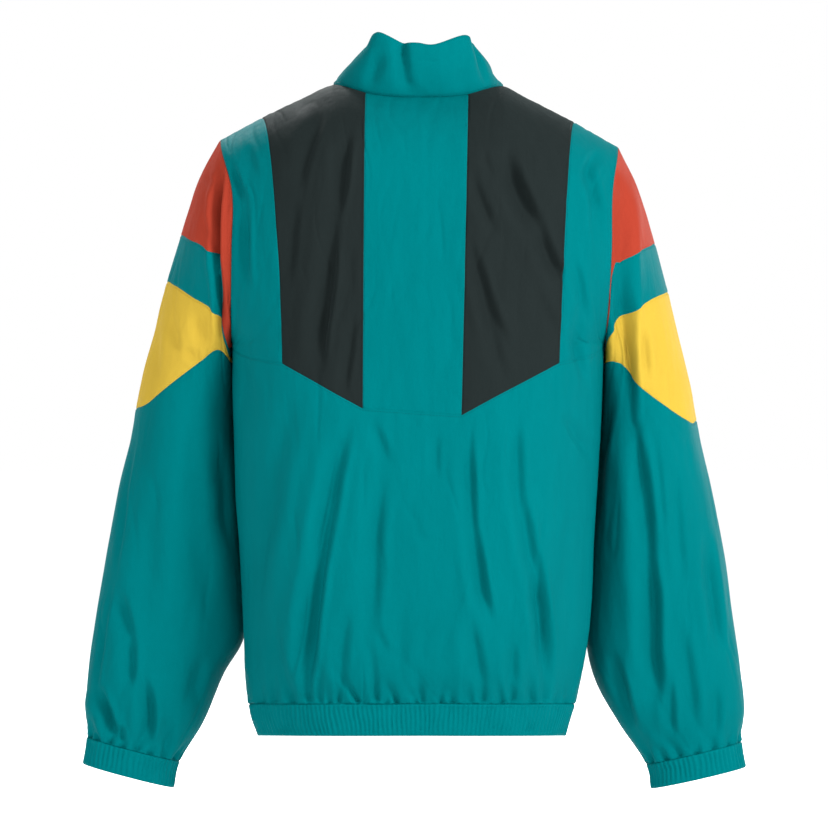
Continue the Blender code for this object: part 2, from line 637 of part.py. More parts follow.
def strip(low, high, closed):
    """Faces between two rows of vertices, of equal count or one with twice the other's columns."""
    def cells(row):
        return len(row) if closed else len(row) - 1

    def at(row, index):
        return row[index % len(row)]

    faces = []
    if cells(low) == cells(high):
        for i in range(cells(low)):
            faces.append((at(low, i), at(low, i + 1), at(high, i + 1), at(high, i)))
    elif cells(low) == 2 * cells(high):
        for i in range(cells(high)):
            a, b, c = (at(low, 2 * i + k) for k in range(3))
            faces += [(a, b, at(high, i)), (b, at(high, i + 1), at(high, i)), (b, c, at(high, i + 1))]
    else:
        for i in range(cells(low)):
            a, b, c = (at(high, 2 * i + k) for k in range(3))
            faces += [(at(low, i), b, a), (at(low, i), at(low, i + 1), b), (at(low, i + 1), c, b)]
    return faces


def make_object(name, vertices, faces, material, smooth=True):
    """One closed body, its faces turned outwards."""
    mesh = bpy.data.meshes.new(name)
    bm = bmesh.new()
    verts = [bm.verts.new(v) for v in vertices]
    for face in faces:
        bm.faces.new([verts[i] for i in face])
    bmesh.ops.recalc_face_normals(bm, faces=bm.faces)
    if bm.calc_volume(signed=True) < 0:
        bmesh.ops.reverse_faces(bm, faces=bm.faces)
    bm.to_mesh(mesh)
    bm.free()
    if smooth:
        mesh.shade_smooth()
        mesh.set_sharp_from_angle(angle=np.radians(40))
    mesh.materials.append(material)
    obj = bpy.data.objects.new(name, mesh)
    bpy.context.scene.collection.objects.link(obj)
    return obj


def rim_faces(vertices, outer_a, outer_b, inner_a, inner_b):
    """The wall's edge between two neighbouring points, always cut along the same diagonal, so that the
    edges of two pieces at a seam stay parallel."""
    key = np.array([0.37, 0.53, 1.0])
    if np.dot(vertices[outer_a], key) > np.dot(vertices[outer_b], key):
        return [(outer_b, outer_a, inner_a), (outer_b, inner_a, inner_b)]
    return [(outer_a, outer_b, inner_b), (outer_a, inner_b, inner_a)]


def make_wall(name, outer, inner, material, closed=False):
    """A sheet of cloth from its outer rows and the matching inner rows."""
    start = 0
    outside, inside, vertices = [], [], []
    for rows, ids in ((outer, outside), (inner, inside)):
        for row in rows:
            ids.append(list(range(start, start + len(row))))
            vertices.extend(map(tuple, row))
            start += len(row)
    faces = []
    for i in range(len(outer) - 1):
        faces += strip(outside[i], outside[i + 1], closed)
        faces += [face[::-1] for face in strip(inside[i], inside[i + 1], closed)]
    for outer_row, inner_row in ((outside[0], inside[0]), (outside[-1], inside[-1])):
        count = len(outer_row)
        for i in range(count if closed else count - 1):
            k = (i + 1) % count
            faces += rim_faces(vertices, outer_row[i], outer_row[k], inner_row[i], inner_row[k])
    if not closed:
        for end in (0, -1):
            for i in range(len(outer) - 1):
                faces += rim_faces(vertices, outside[i][end], outside[i + 1][end],
                                   inside[i][end], inside[i + 1][end])
    return make_object(name, vertices, faces, material)


def cloth(name, base, normals, sinks, material, closed=False, wall=WALL):
    """A cloth piece: its base rows sunk by the folds, given a wall and drawn back at the seams."""
    full = [place - sink[..., None] * normal for place, normal, sink in zip(base, normals, sinks)]
    outer = draw_back(full, closed)
    inner = [edge - wall * normal for edge, normal in zip(outer, normals)]
    make_wall(name, outer, inner, material, closed)
    return full


# ---------------------------------------------------------------- torso pieces

def line_place(name, share):
    """Distance from the centre along one of the torso's lines, from the yoke seam (0) to the top (1)."""
    line = LINES[name]
    return (line["foot"] * (1 - share) * (1 - 2 * share) + line["middle"] * 4 * share * (1 - share)
            + line["top"] * share * (2 * share - 1))


def yoke_rows():
    return (1 - np.cos(np.pi * np.arange(YOKE_ROWS + 1) / YOKE_ROWS)) / 2


def line_values(name, share, face):
    """Around value and length of a line; an edge line lies at around 1 or -1."""
    if name.startswith("edge"):
        hand = LEFT if name.endswith("left") else RIGHT
        length = lerp(ARMPIT, top_length(np.array(TIP[hand]), face), share)
        return hand + 0 * length, length
    foot = LINES[name]["yoke"] if face == BACK else ARMPIT
    top = top_length(line_place(name, np.array(1.0)), face)
    length = lerp(foot, top, share)
    return around_at(line_place(name, share), length, face), length


def span_columns(names, counts, share, face):
    """Around and length values across several lines at one share of the way up."""
    around, lengths = [], []
    for first, last, count in zip(names, names[1:], counts):
        step = np.arange(count + (last == names[-1])) / count
        low_around, low_length = line_values(first, share, face)
        high_around, high_length = line_values(last, share, face)
        if "edge" in first + last:
            around.append(lerp(low_around, high_around, step))
            lengths.append(lerp(low_length, high_length, step))
            continue
        across = lerp(line_place(first, share), line_place(last, share), step)
        tops = top_length(lerp(line_place(first, 1.0), line_place(last, 1.0), step), face)
        feet = lerp(line_values(first, 0.0, face)[1], line_values(last, 0.0, face)[1], step)
        length = lerp(feet, tops, share)
        around.append(around_at(across, length, face))
        lengths.append(length)
    return np.concatenate(around), np.concatenate(lengths)


def torso_normals(around, length, face, rim=None):
    normal = torso_normal(around, length, face)
    place = torso(around, length, face)
    for hand in (LEFT, RIGHT):
        edge = (np.abs(around - hand) < 1e-6) & (length >= ARMPIT - 1e-6)
        if edge.any():
            top = top_length(np.array(TIP[hand]), face)
            angle = np.arccos(np.clip(2 * (length - ARMPIT) / (top - ARMPIT) - 1, -1, 1)) * face
            normal = np.where(edge[..., None], armhole_normal(angle, hand), normal)
    if rim == "neck":
        inside = np.abs(place[..., 0]) <= NECK_HALF + 1e-6
        normal = np.where(inside[..., None], neck_normal(place), normal)
    if rim == "hem":
        normal = unit(normal * np.array([1.0, 1.0, 0.0]))
    return normal


def neck_normal(place):
    """The direction that both walls are offset along at the neck seam."""
    return unit(collar_out(place) + np.array([0.0, 0.0, NECK_LEAN]))


def double(values):
    middle = (values[1:] + values[:-1]) / 2
    full = np.empty(len(values) + len(middle))
    full[::2], full[1::2] = values, middle
    return full


def torso_grid(names, counts, face, upper, lower):
    """Rows of around and length values for a torso piece, with the rim each row lies on."""
    rows = []
    feet_around, feet_length = span_columns(names, counts, 0.0, face)
    if lower:
        for i, share in enumerate(LOWER_ROWS):
            if share == 1.0 and upper:
                continue
            around = double(feet_around) if i <= FINE_ROWS - 1 else feet_around
            foot = double(feet_length) if i <= FINE_ROWS - 1 else feet_length
            rows.append((around, lerp(HEM_SEAM, foot, share), "hem" if i == 0 else None))
    if upper:
        for share in yoke_rows():
            around, length = span_columns(names, counts, share, face)
            rows.append((around, length, "neck" if share == 1.0 else None))
    return rows


def torso_piece(name, names, counts, face, material, upper=True, lower=False):
    rows = torso_grid(names, counts, face, upper, lower)
    base = [torso(around, length, face) for around, length, _ in rows]
    normals = [torso_normals(around, length, face, rim) for around, length, rim in rows]
    sinks = [torso_sink(around, length, face) for around, length, _ in rows]
    fade = [0.0 if rim else 1.0 for _, _, rim in rows]
    full = cloth(name, base, normals, [sink * share for sink, share in zip(sinks, fade)], material)
    return full, normals


def make_torso(mats):
    """All torso pieces; returns the rows and normals of those that the collar and zip are sewn to."""
    side, shoulder, neck, centre = (COLUMNS[key] for key in ("side", "shoulder", "neck", "centre"))
    tops = {}
    tops["centre"] = torso_piece("back_center", ["inner right", "inner left"], [centre], BACK, mats["teal"])
    for hand in ("left", "right"):
        black = [f"inner {hand}", f"neck {hand}", f"outer {hand}"]
        tops[hand] = torso_piece(f"back_black_{hand}", black, [neck, shoulder], BACK, mats["charcoal"])
        torso_piece(f"back_side_{hand}", [f"outer {hand}", f"edge {hand}"], [side], BACK, mats["teal"])
        front = [f"zip {hand}", f"neck {hand}", f"outer {hand}", f"edge {hand}"]
        counts = [COLUMNS["front neck"], shoulder, side]
        tops["front " + hand] = torso_piece(f"front_{hand}", front, counts, FRONT, mats["teal"], lower=True)
    names = ["edge right", "outer right", "neck right", "inner right",
             "inner left", "neck left", "outer left", "edge left"]
    counts = [side, shoulder, neck, centre, neck, shoulder, side]
    torso_piece("back_lower", names, counts, BACK, mats["teal"], upper=False, lower=True)
    return tops


# ---------------------------------------------------------------- collar

def collar_base(tops):
    """The neck seam's points from the left front edge by the back to the right front edge."""
    neck, front = COLUMNS["neck"], COLUMNS["front neck"]
    seam = {name: rows[-1] for name, (rows, _) in tops.items()}
    left_front = seam["front left"][:front]
    left_back = seam["left"][:neck + 1][::-1]
    centre = seam["centre"][::-1][1:-1]
    right_back = seam["right"][:neck + 1]
    right_front = seam["front right"][:front][::-1]
    seam = np.concatenate([left_front, left_back, centre, right_back, right_front])
    return np.stack([double(seam[:, axis]) for axis in range(3)], axis=-1)


def grid_normal(row, up):
    """Outward normals of a row of points, from its own run and the direction up from it."""
    normal = unit(np.cross(np.gradient(row, axis=0), up))
    flip = np.sign(np.sum(normal * collar_out(row), axis=-1, keepdims=True))
    return normal * flip


def make_collar(tops, material):
    base = collar_base(tops)
    angle = neck_angle(base)
    top = collar_top(angle)
    rows, normals, sinks = [], [], []
    for share in np.linspace(0.0, 1.0, COLLAR_ROWS + 1):
        bulge = COLLAR_BULGE * 4 * share * (1 - share)
        rows.append(lerp(base, top, share) + bulge * collar_out(base))
        fade = smoothstep(share * 4) * smoothstep((170 - np.abs(np.degrees(angle))) / 12)
        sinks.append(collar_folds(angle, share) * fade)
    for row in rows:
        row[0, 0], row[-1, 0] = ZIP_HALF, -ZIP_HALF
    for i, row in enumerate(rows):
        up = rows[min(i + 1, COLLAR_ROWS)] - rows[max(i - 1, 0)] if i < COLLAR_ROWS else row - rows[-2]
        normals.append(grid_normal(row, up))
    normals[0] = neck_normal(base)
    normals[-2] = normals[-1]
    return cloth("collar", rows, normals, sinks, material), normals


# ---------------------------------------------------------------- sleeves

def band_end(colour, angle, hand):
    rows = BANDS[hand]
    return curve(rows.angle, getattr(rows, colour), np.degrees(np.abs(angle)))


def make_sleeve(hand, mats):
    side = "left" if hand == LEFT else "right"
    turns = np.pi * np.arange(-YOKE_ROWS + 1, YOKE_ROWS + 1) / YOKE_ROWS
    ends = [0 * turns] + [band_end(colour, turns, hand) for colour in ("red", "band", "yellow")]
    for i, (colour, paint) in enumerate((("red", "red"), ("band", "teal"), ("yellow", "yellow"))):
        shares = np.linspace(0.0, 1.0, SLEEVE_ROWS[colour] + 1)
        rings = [lerp(ends[i], ends[i + 1], share) for share in shares]
        sleeve_piece(f"sleeve_{colour}_{side}", [turns] * len(rings), rings, hand, mats[paint])
    fine = np.pi * np.arange(-2 * YOKE_ROWS + 2, 2 * YOKE_ROWS + 2) / (2 * YOKE_ROWS)
    angles, rings = [], []
    for i, share in enumerate(SLEEVE_LOWER_ROWS):
        near = i >= len(SLEEVE_LOWER_ROWS) - FINE_ROWS
        angle = fine if near else turns
        angles.append(angle)
        rings.append(lerp(band_end("yellow", angle, hand), CUFF_RING, share))
    sleeve_piece(f"sleeve_lower_{side}", angles, rings, hand, mats["teal"])


def ring_normal(angle, ring, hand):
    """Normals that stay in the ring's own plane, for the cuff seam."""
    normal = sleeve_normal(angle, ring, hand)
    across = unit(sleeve(0 * angle, ring, hand) - sleeve(0 * angle + np.pi, ring, hand))
    depth = np.array([0.0, 1.0, 0.0])
    return unit(across * np.sum(normal * across, axis=-1, keepdims=True) + depth * normal[..., 1:2])


def sleeve_piece(name, angles, rings, hand, material):
    base = [sleeve(angle, ring, hand) for angle, ring in zip(angles, rings)]
    normals = [sleeve_normal(angle, ring, hand) for angle, ring in zip(angles, rings)]
    sinks = [sleeve_sink(angle, ring, hand) for angle, ring in zip(angles, rings)]
    if name.startswith("sleeve_lower"):
        normals[-1] = ring_normal(angles[-1], rings[-1], hand)
        sinks[-1] = 0 * sinks[-1]
    cloth(name, base, normals, sinks, material, closed=True)


def make_cuff(hand, material):
    side = "left" if hand == LEFT else "right"
    angle = np.pi * np.arange(2 * CUFF_RIBS) / CUFF_RIBS
    angle = (angle + np.pi) % (2 * np.pi) - np.pi
    rows, normals, sinks = [], [], []
    for ring in (CUFF_RING, CUFF_END_RING):
        rows.append(sleeve(angle, ring, hand))
        normals.append(ring_normal(angle, ring + 0 * angle, hand))
        sinks.append(RIB * (np.arange(len(angle)) % 2))
    make_band(f"cuff_{side}", rows, normals, sinks, material, closed=True)


# ---------------------------------------------------------------- bands

def make_band(name, rows, normals, sinks, material, closed):
    """An elastic band: ribs in its outer points over a plain inside."""
    full = [place - sink[..., None] * normal for place, normal, sink in zip(rows, normals, sinks)]
    outer = draw_back(full, closed)
    inner = [edge - (BAND_WALL - sink[..., None]) * normal
             for edge, normal, sink in zip(outer, normals, sinks)]
    make_wall(name, outer, inner, material, closed)


def make_hem_band(material):
    """The band runs from the left front edge by the back to the right front edge."""
    rows, normals, sinks = [], [], []
    half = HEM_RIBS // 2
    for length in (HEM_END, HEM_SEAM):
        start = around_at(ZIP_HALF, length, FRONT)
        finish = around_at(-ZIP_HALF, length, FRONT)
        left = lerp(start, 1.0, np.arange(half) / half)
        back = lerp(1.0, -1.0, np.arange(2 * half) / (2 * half))
        right = lerp(-1.0, finish, np.arange(half + 1) / half)
        place = np.concatenate([torso(left, length, FRONT), torso(back, length, BACK),
                                torso(right, length, FRONT)])
        normal = np.concatenate([torso_normals(left, length + 0 * left, FRONT, "hem"),
                                 torso_normals(back, length + 0 * back, BACK, "hem"),
                                 torso_normals(right, length + 0 * right, FRONT, "hem")])
        rows.append(place)
        normals.append(normal)
        sinks.append(RIB * (np.arange(len(place)) % 2))
    make_band("hem_band", rows, normals, sinks, material, closed=False)
    return rows, normals


# ---------------------------------------------------------------- zip

def zip_rows(side, torso_rows, hem, collar):
    """Rows and normals up one front edge, hem to collar, each starting at the zip."""
    turn = slice(None) if side == "left" else slice(None, None, -1)
    front_rows, front_normals = torso_rows[f"front {side}"]
    rows = [hem[0][0][turn]] + front_rows + [row[turn] for row in collar[0][1:]]
    normals = [hem[1][0][turn]] + front_normals + [row[turn] for row in collar[1][1:]]
    return rows, normals


def off_edge(rows, normals, across):
    """Points at a distance from the centre on the line through each row's first two points."""
    first, second = (np.array([row[i] for row in rows]) for i in (0, 1))
    low, high = np.abs(first[:, :1]), np.abs(second[:, :1])
    share = (across - low) / (high - low)
    start, finish = (np.array([row[i] for row in normals]) for i in (0, 1))
    return lerp(first, second, share), unit(lerp(start, finish, np.clip(share, 0, 1)))


def travel(path):
    return np.concatenate([[0.0], np.cumsum(np.linalg.norm(np.diff(path, axis=0), axis=1))])


def cut_rows(path, rows, below):
    """Rows of points along the zip, ended a given length below the path's top."""
    reach = travel(path)
    stop = reach[-1] - below
    keep = reach < stop - ROW_CLEAR
    ends = []
    for row in rows:
        last = [np.interp(stop, reach, row[:, axis]) for axis in range(3)]
        ends.append(np.vstack([row[keep], last]))
    return ends


def make_strip(name, edges, face, back, material):
    """A strip from its two edge lines, each with its normals, between two depths behind the cloth's face."""
    (low, low_out), (high, high_out) = edges
    vertices = []
    for a, a_out, b, b_out in zip(low, low_out, high, high_out):
        vertices += [tuple(a - face * a_out), tuple(b - face * b_out),
                     tuple(b - back * b_out), tuple(a - back * a_out)]
    last = 4 * (len(low) - 1)
    faces = [(3, 2, 1, 0), (last, last + 1, last + 2, last + 3)]
    for i in range(len(low) - 1):
        for k in range(4):
            a, b = 4 * i + k, 4 * i + (k + 1) % 4
            faces.append((a, b, b + 4, a + 4))
    make_object(name, vertices, faces, material, smooth=False)


def extrude_outline(name, outline, half, frame, material):
    """A solid from an outline in the zip's plane: (along, outwards) pairs, extruded across."""
    centre, along, out = frame
    vertices = [tuple(centre + a * along + o * out + np.array([x, 0, 0]))
                for x in (-half, half) for a, o in outline]
    count = len(outline)
    faces = [tuple(range(count)), tuple(range(2 * count - 1, count - 1, -1))]
    faces += [(i, (i + 1) % count, count + (i + 1) % count, count + i) for i in range(count)]
    return make_object(name, vertices, faces, material, smooth=False)


def make_slider(frame, material):
    """Front and back plate over the chain, joined above its end, with an arch for the tab on the front."""
    low, top = -SLIDER_HEIGHT / 2, SLIDER_HEIGHT / 2
    slot_front, slot_back = -CHAIN_FACE + SEAM_GAP, -CHAIN_BACK - SEAM_GAP
    face, rear = slot_front + SLIDER_PLATE, slot_back - SLIDER_PLATE
    body = [(low, slot_front), (low, face), (top, face), (top, rear), (low, rear), (low, slot_back),
            (top - SLIDER_CAP, slot_back), (top - SLIDER_CAP, slot_front)]
    slider = extrude_outline("zip_slider", body, SLIDER_HALF, frame, material)
    open_half, foot, sunk = ARCH_OPEN_H / 2, ARCH_FOOT, face - SLIDER_PLATE / 2
    reach = face + ARCH_OPEN_D
    arch = [(-open_half - foot, sunk), (-open_half - foot, reach + foot * 0.6), (-open_half, reach + foot),
            (open_half, reach + foot), (open_half + foot, reach + foot * 0.6), (open_half + foot, sunk),
            (open_half, sunk), (open_half, reach), (-open_half, reach), (-open_half, sunk)]
    bridge = extrude_outline("slider_arch", arch, ARCH_HALF, frame, material)
    bridge.hide_render = True
    bridge.display_type = "WIRE"
    union = slider.modifiers.new("arch", "BOOLEAN")
    union.operation = "UNION"
    union.object = bridge
    centre, _, out = frame
    return centre + (face + ARCH_OPEN_D / 2) * out


def make_pull(axis_point, frame, material):
    """A flat tab with a window; the bar above the window turns under the slider's arch."""
    _, along, out = frame
    bar, far, inner = TAB_BAR / 2, TAB_WINDOW["far"], TAB_WINDOW["half"]
    rows = [(bar, TAB_HALF), (-bar, TAB_HALF), (-far, TAB_HALF), (-far - TAB_SHOULDER, TAB_HALF),
            (-TAB_LENGTH + TAB_ROUND, TAB_TIP_HALF), (-TAB_LENGTH, TAB_TIP_HALF * 0.6)]
    columns = (-1.0, -inner / TAB_HALF, inner / TAB_HALF, 1.0)
    vertices = []
    for layer in (bar, -bar):
        for place, half in rows:
            vertices += [tuple(axis_point + place * along + layer * out + np.array([c * half, 0, 0]))
                         for c in columns]
    layer_size = len(rows) * 4

    def quad(row, column, flip):
        a = row * 4 + column
        corners = [a, a + 1, a + 5, a + 4]
        return tuple(v + (layer_size if flip else 0) for v in (corners[::-1] if flip else corners))

    cells = [(r, c) for r in range(len(rows) - 1) for c in range(3) if (r, c) != (1, 1)]
    faces = [quad(r, c, flip) for flip in (False, True) for r, c in cells]
    rings = [quad(r, c, False) for r, c in cells]
    edges = [pair for ring in rings for pair in zip(ring, ring[1:] + ring[:1])]
    known = set(edges)
    for a, b in edges:
        if (b, a) not in known:
            faces.append((b, a, a + layer_size, b + layer_size))
    pull = make_object("zip_pull", vertices, faces, material, smooth=False)
    pull.data.transform(Matrix.Translation(tuple(-axis_point)))
    pull.location = axis_point


def make_zip(torso_rows, hem, collar, mats):
    """Tapes behind the fronts' edges, the chain between them, and the slider at the top, tab hanging."""
    edges = {side: zip_rows(side, torso_rows, hem, collar) for side in ("left", "right")}
    left, right = (off_edge(*edges[side], ZIP_HALF) for side in ("left", "right"))
    flat = np.array([0.0, 1.0, 1.0])
    path = (left[0] + right[0]) / 2 * flat
    out = unit((left[1] + right[1]) * flat)
    end = SLIDER_DROP + SLIDER_CAP + SEAM_GAP
    for side in ("left", "right"):
        lines = []
        for across in (TAPE["inner"], TAPE["outer"]):
            place, normal = off_edge(*edges[side], across)
            lines.append(cut_rows(path, (place, unit(normal * flat)), end))
        make_strip(f"zip_tape_{side}", lines, TAPE["face"], TAPE["back"], mats["zip"])
    middle, ways = cut_rows(path, (path, out), end)
    offset = np.array([CHAIN_HALF, 0.0, 0.0])
    make_strip("zip_chain", ((middle - offset, ways), (middle + offset, ways)), CHAIN_FACE, CHAIN_BACK,
               mats["zip"])
    low, seat, high = (cut_rows(path, (path,), SLIDER_DROP + share * SLIDER_HEIGHT)[0][-1]
                       for share in (1.0, 0.5, 0.0))
    along = unit(high - low)
    outwards = np.cross(np.array([1.0, 0.0, 0.0]), along)
    frame = (seat, along, outwards)
    axis_point = make_slider(frame, mats["metal"])
    make_pull(axis_point, frame, mats["metal"])


# ---------------------------------------------------------------- the garment

def make_materials():
    mats = {}
    for name, colour in COLOURS.items():
        mat = bpy.data.materials.new(name)
        mat.use_nodes = True
        shader = mat.node_tree.nodes["Principled BSDF"]
        shader.inputs["Base Color"].default_value = (*colour, 1.0)
        shader.inputs["Roughness"].default_value = 0.3 if name == "metal" else 0.55
        shader.inputs["Metallic"].default_value = 1.0 if name == "metal" else 0.0
        mats[name] = mat
    return mats


def main():
    for obj in list(bpy.data.objects):
        bpy.data.objects.remove(obj, do_unlink=True)
    mats = make_materials()
    torso_rows = make_torso(mats)
    for hand in (LEFT, RIGHT):
        make_sleeve(hand, mats)
        make_cuff(hand, mats["teal"])
    collar = make_collar(torso_rows, mats["teal"])
    hem = make_hem_band(mats["teal"])
    make_zip(torso_rows, hem, collar, mats)


main()
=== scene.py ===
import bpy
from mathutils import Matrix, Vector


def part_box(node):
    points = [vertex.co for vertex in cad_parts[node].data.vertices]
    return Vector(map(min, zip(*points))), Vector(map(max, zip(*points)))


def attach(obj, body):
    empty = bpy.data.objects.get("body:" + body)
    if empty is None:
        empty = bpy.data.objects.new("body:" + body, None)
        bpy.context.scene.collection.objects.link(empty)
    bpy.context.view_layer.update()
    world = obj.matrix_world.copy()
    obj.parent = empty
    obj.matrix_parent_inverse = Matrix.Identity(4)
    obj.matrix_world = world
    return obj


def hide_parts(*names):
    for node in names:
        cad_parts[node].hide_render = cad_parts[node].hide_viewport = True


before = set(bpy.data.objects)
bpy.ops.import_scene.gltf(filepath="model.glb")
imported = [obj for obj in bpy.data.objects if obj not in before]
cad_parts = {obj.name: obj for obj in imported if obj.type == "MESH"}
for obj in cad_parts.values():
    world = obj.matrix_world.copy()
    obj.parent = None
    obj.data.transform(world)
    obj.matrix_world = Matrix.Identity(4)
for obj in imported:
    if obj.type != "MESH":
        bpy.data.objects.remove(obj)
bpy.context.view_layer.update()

# A windbreaker seen from behind, filled out and hollow. Each cut piece is a thin shell on the same surfaces
# as its solid, with the creases, gathers, ribs, seams and stitches of the real cloth. Metres, +Z up, back
# towards +Y, the wearer's left towards +X.
from types import SimpleNamespace

import bmesh
import bpy
import numpy as np
from mathutils import Vector

BODY = "jacket"
BACK, FRONT = 1, -1
LEFT, RIGHT = 1, -1
SIDES = {"left": LEFT, "right": RIGHT}

# ---------------------------------------------------------------- sizes

SQUARENESS = 2.4           # 2 is an ellipse, more is boxier: torso sections
SLEEVE_SQUARENESS = 2.15
ARMPIT = -0.256            # height of the underarm point
HEM_SEAM = -0.634
HEM_END = -0.667
HEM_ARCH = 0.006           # rise of the hem at the centre back and front
ARCH_TOP, ARCH_REACH = -0.5, 0.13     # it begins below this height and grows over this length
SCYE_RISE = 0.085          # height over which the armhole opens to its full depth
SCYE_DEPTH = {BACK: 0.072, FRONT: 0.066}    # half-depth of the armhole
NECK_HALF = 0.0895         # half-width of the neck opening
NECK_DROP = {BACK: 0.017, FRONT: 0.081}     # fall of the neck seam from its side point
ZIP_HALF = 0.0048          # centre front to the fronts' edges
ARMHOLE_CLEAR = 0.00045    # the sleeve starts this far outside the torso's edge
ARMHOLE_LEAN = 0.7         # how far the walls' edges tip back at the shoulder tip, as a slope
NECK_POWER = 2.6           # 2 is a round neckline, more is flatter in the middle
NECK_LEAN = 0.45           # how far the walls' edges tip back at the neck seam, as a slope
YOKE_HEIGHT, LOWER_HEIGHT = 0.345, 0.330    # of the two parts of the torso, which set how many points fit
SIDE_WIDTH = 0.27          # from the centre to a side seam, round the body

WALL = 0.0009              # one layer of cloth with its seam allowances
COLLAR_WALL = 0.0017       # two layers
BAND_WALL = 0.0018         # cloth gathered over elastic
COLUMN = {BACK: 0.0015, FRONT: 0.0020}      # spacing of the torso's points across
ROW, BAND_ROW, COLLAR_ROW = 0.0042, 0.0028, 0.0024    # and up
NEAR_SEAM = (0.0, 0.0010, 0.0022)     # extra points beside a seam
CLOSE_SHARE, CLOSE_COUNT = 0.10, 17   # closer rows over this share of a piece beside its gathers
SEAM_BLEND = 0.006         # beside a seam between two surfaces their walls turn to one direction over this
CUFF_BLEND = 0.25          # the same above the cuff, in rings
ARMHOLE_BLEND = 0.5        # and below the armhole
SHAPE_BLEND = 1.6          # rings over which the sleeve leaves the armhole's own shape


def table(text):
    """A short table: its first line names the columns, and each becomes an array."""
    names, *rows = [line.split() for line in text.strip().splitlines()]
    return SimpleNamespace(**dict(zip(names, np.array(rows, float).T)))


def each_row(rows):
    """One record for each row of a table."""
    columns = vars(rows)
    return [SimpleNamespace(**dict(zip(columns, values))) for values in zip(*columns.values())]


# Torso sections from hem to shoulder: half-widths to the wearer's left and right, depths of back and front.
TORSO = table("""
    height   left  right  back front
    -0.667 0.1690 0.1550 0.108 0.102
    -0.650 0.1755 0.1600 0.111 0.105
    -0.634 0.1785 0.1645 0.114 0.109
    -0.610 0.1815 0.1700 0.123 0.117
    -0.562 0.1835 0.1785 0.130 0.124
    -0.450 0.1890 0.1850 0.133 0.130
    -0.340 0.1940 0.1915 0.132 0.135
    -0.256 0.1955 0.1950 0.130 0.138
    -0.160 0.1940 0.2005 0.126 0.136
    -0.096 0.1940 0.2020 0.122 0.132
    -0.047 0.2069 0.2095 0.119 0.128
     0.000 0.2069 0.2095 0.118 0.125
""")

# The ridge where back and front meet: its height across, and the radius of the roll up to it on each side.
RIDGE = table("""
     across  height back_roll front_roll
    -0.2095 -0.0500     0.085      0.150
    -0.1620 -0.0230     0.098      0.170
    -0.1160  0.0005     0.100      0.200
    -0.0895  0.0142     0.100      0.220
    -0.0450  0.0160     0.100      0.245
     0.0450  0.0165     0.100      0.245
     0.0895  0.0160     0.100      0.220
     0.1240  0.0005     0.100      0.195
     0.1600 -0.0168     0.098      0.170
     0.2069 -0.0420     0.085      0.150
""")
TIP = {LEFT: 0.2069, RIGHT: -0.2095}

# Seams that run down the torso: distance from the centre at the yoke seam, half-way and at the top, and the
# height of the yoke seam where each meets it. The neck line is no seam: it only ends columns at the neck.
LINES = {
    "inner left": dict(foot=0.0575, middle=0.0565, top=0.0552, yoke=-0.3240),
    "neck left": dict(foot=0.0850, middle=0.0870, top=0.0895, yoke=-0.3092),
    "outer left": dict(foot=0.1412, middle=0.1480, top=0.1655, yoke=-0.2775),
    "inner right": dict(foot=-0.0442, middle=-0.0482, top=-0.0518, yoke=-0.3310),
    "neck right": dict(foot=-0.0800, middle=-0.0850, top=-0.0895, yoke=-0.3115),
    "outer right": dict(foot=-0.1460, middle=-0.1525, top=-0.1640, yoke=-0.2770),
    "zip left": dict(foot=ZIP_HALF, middle=ZIP_HALF, top=ZIP_HALF, yoke=ARMPIT),
    "zip right": dict(foot=-ZIP_HALF, middle=-ZIP_HALF, top=-ZIP_HALF, yoke=ARMPIT),
}
# Widths between neighbouring lines, which set how many points fit.
SPANS = {"edge outer": 0.060, "neck outer": 0.072, "inner neck": 0.040, "inner inner": 0.106,
         "neck zip": 0.088}

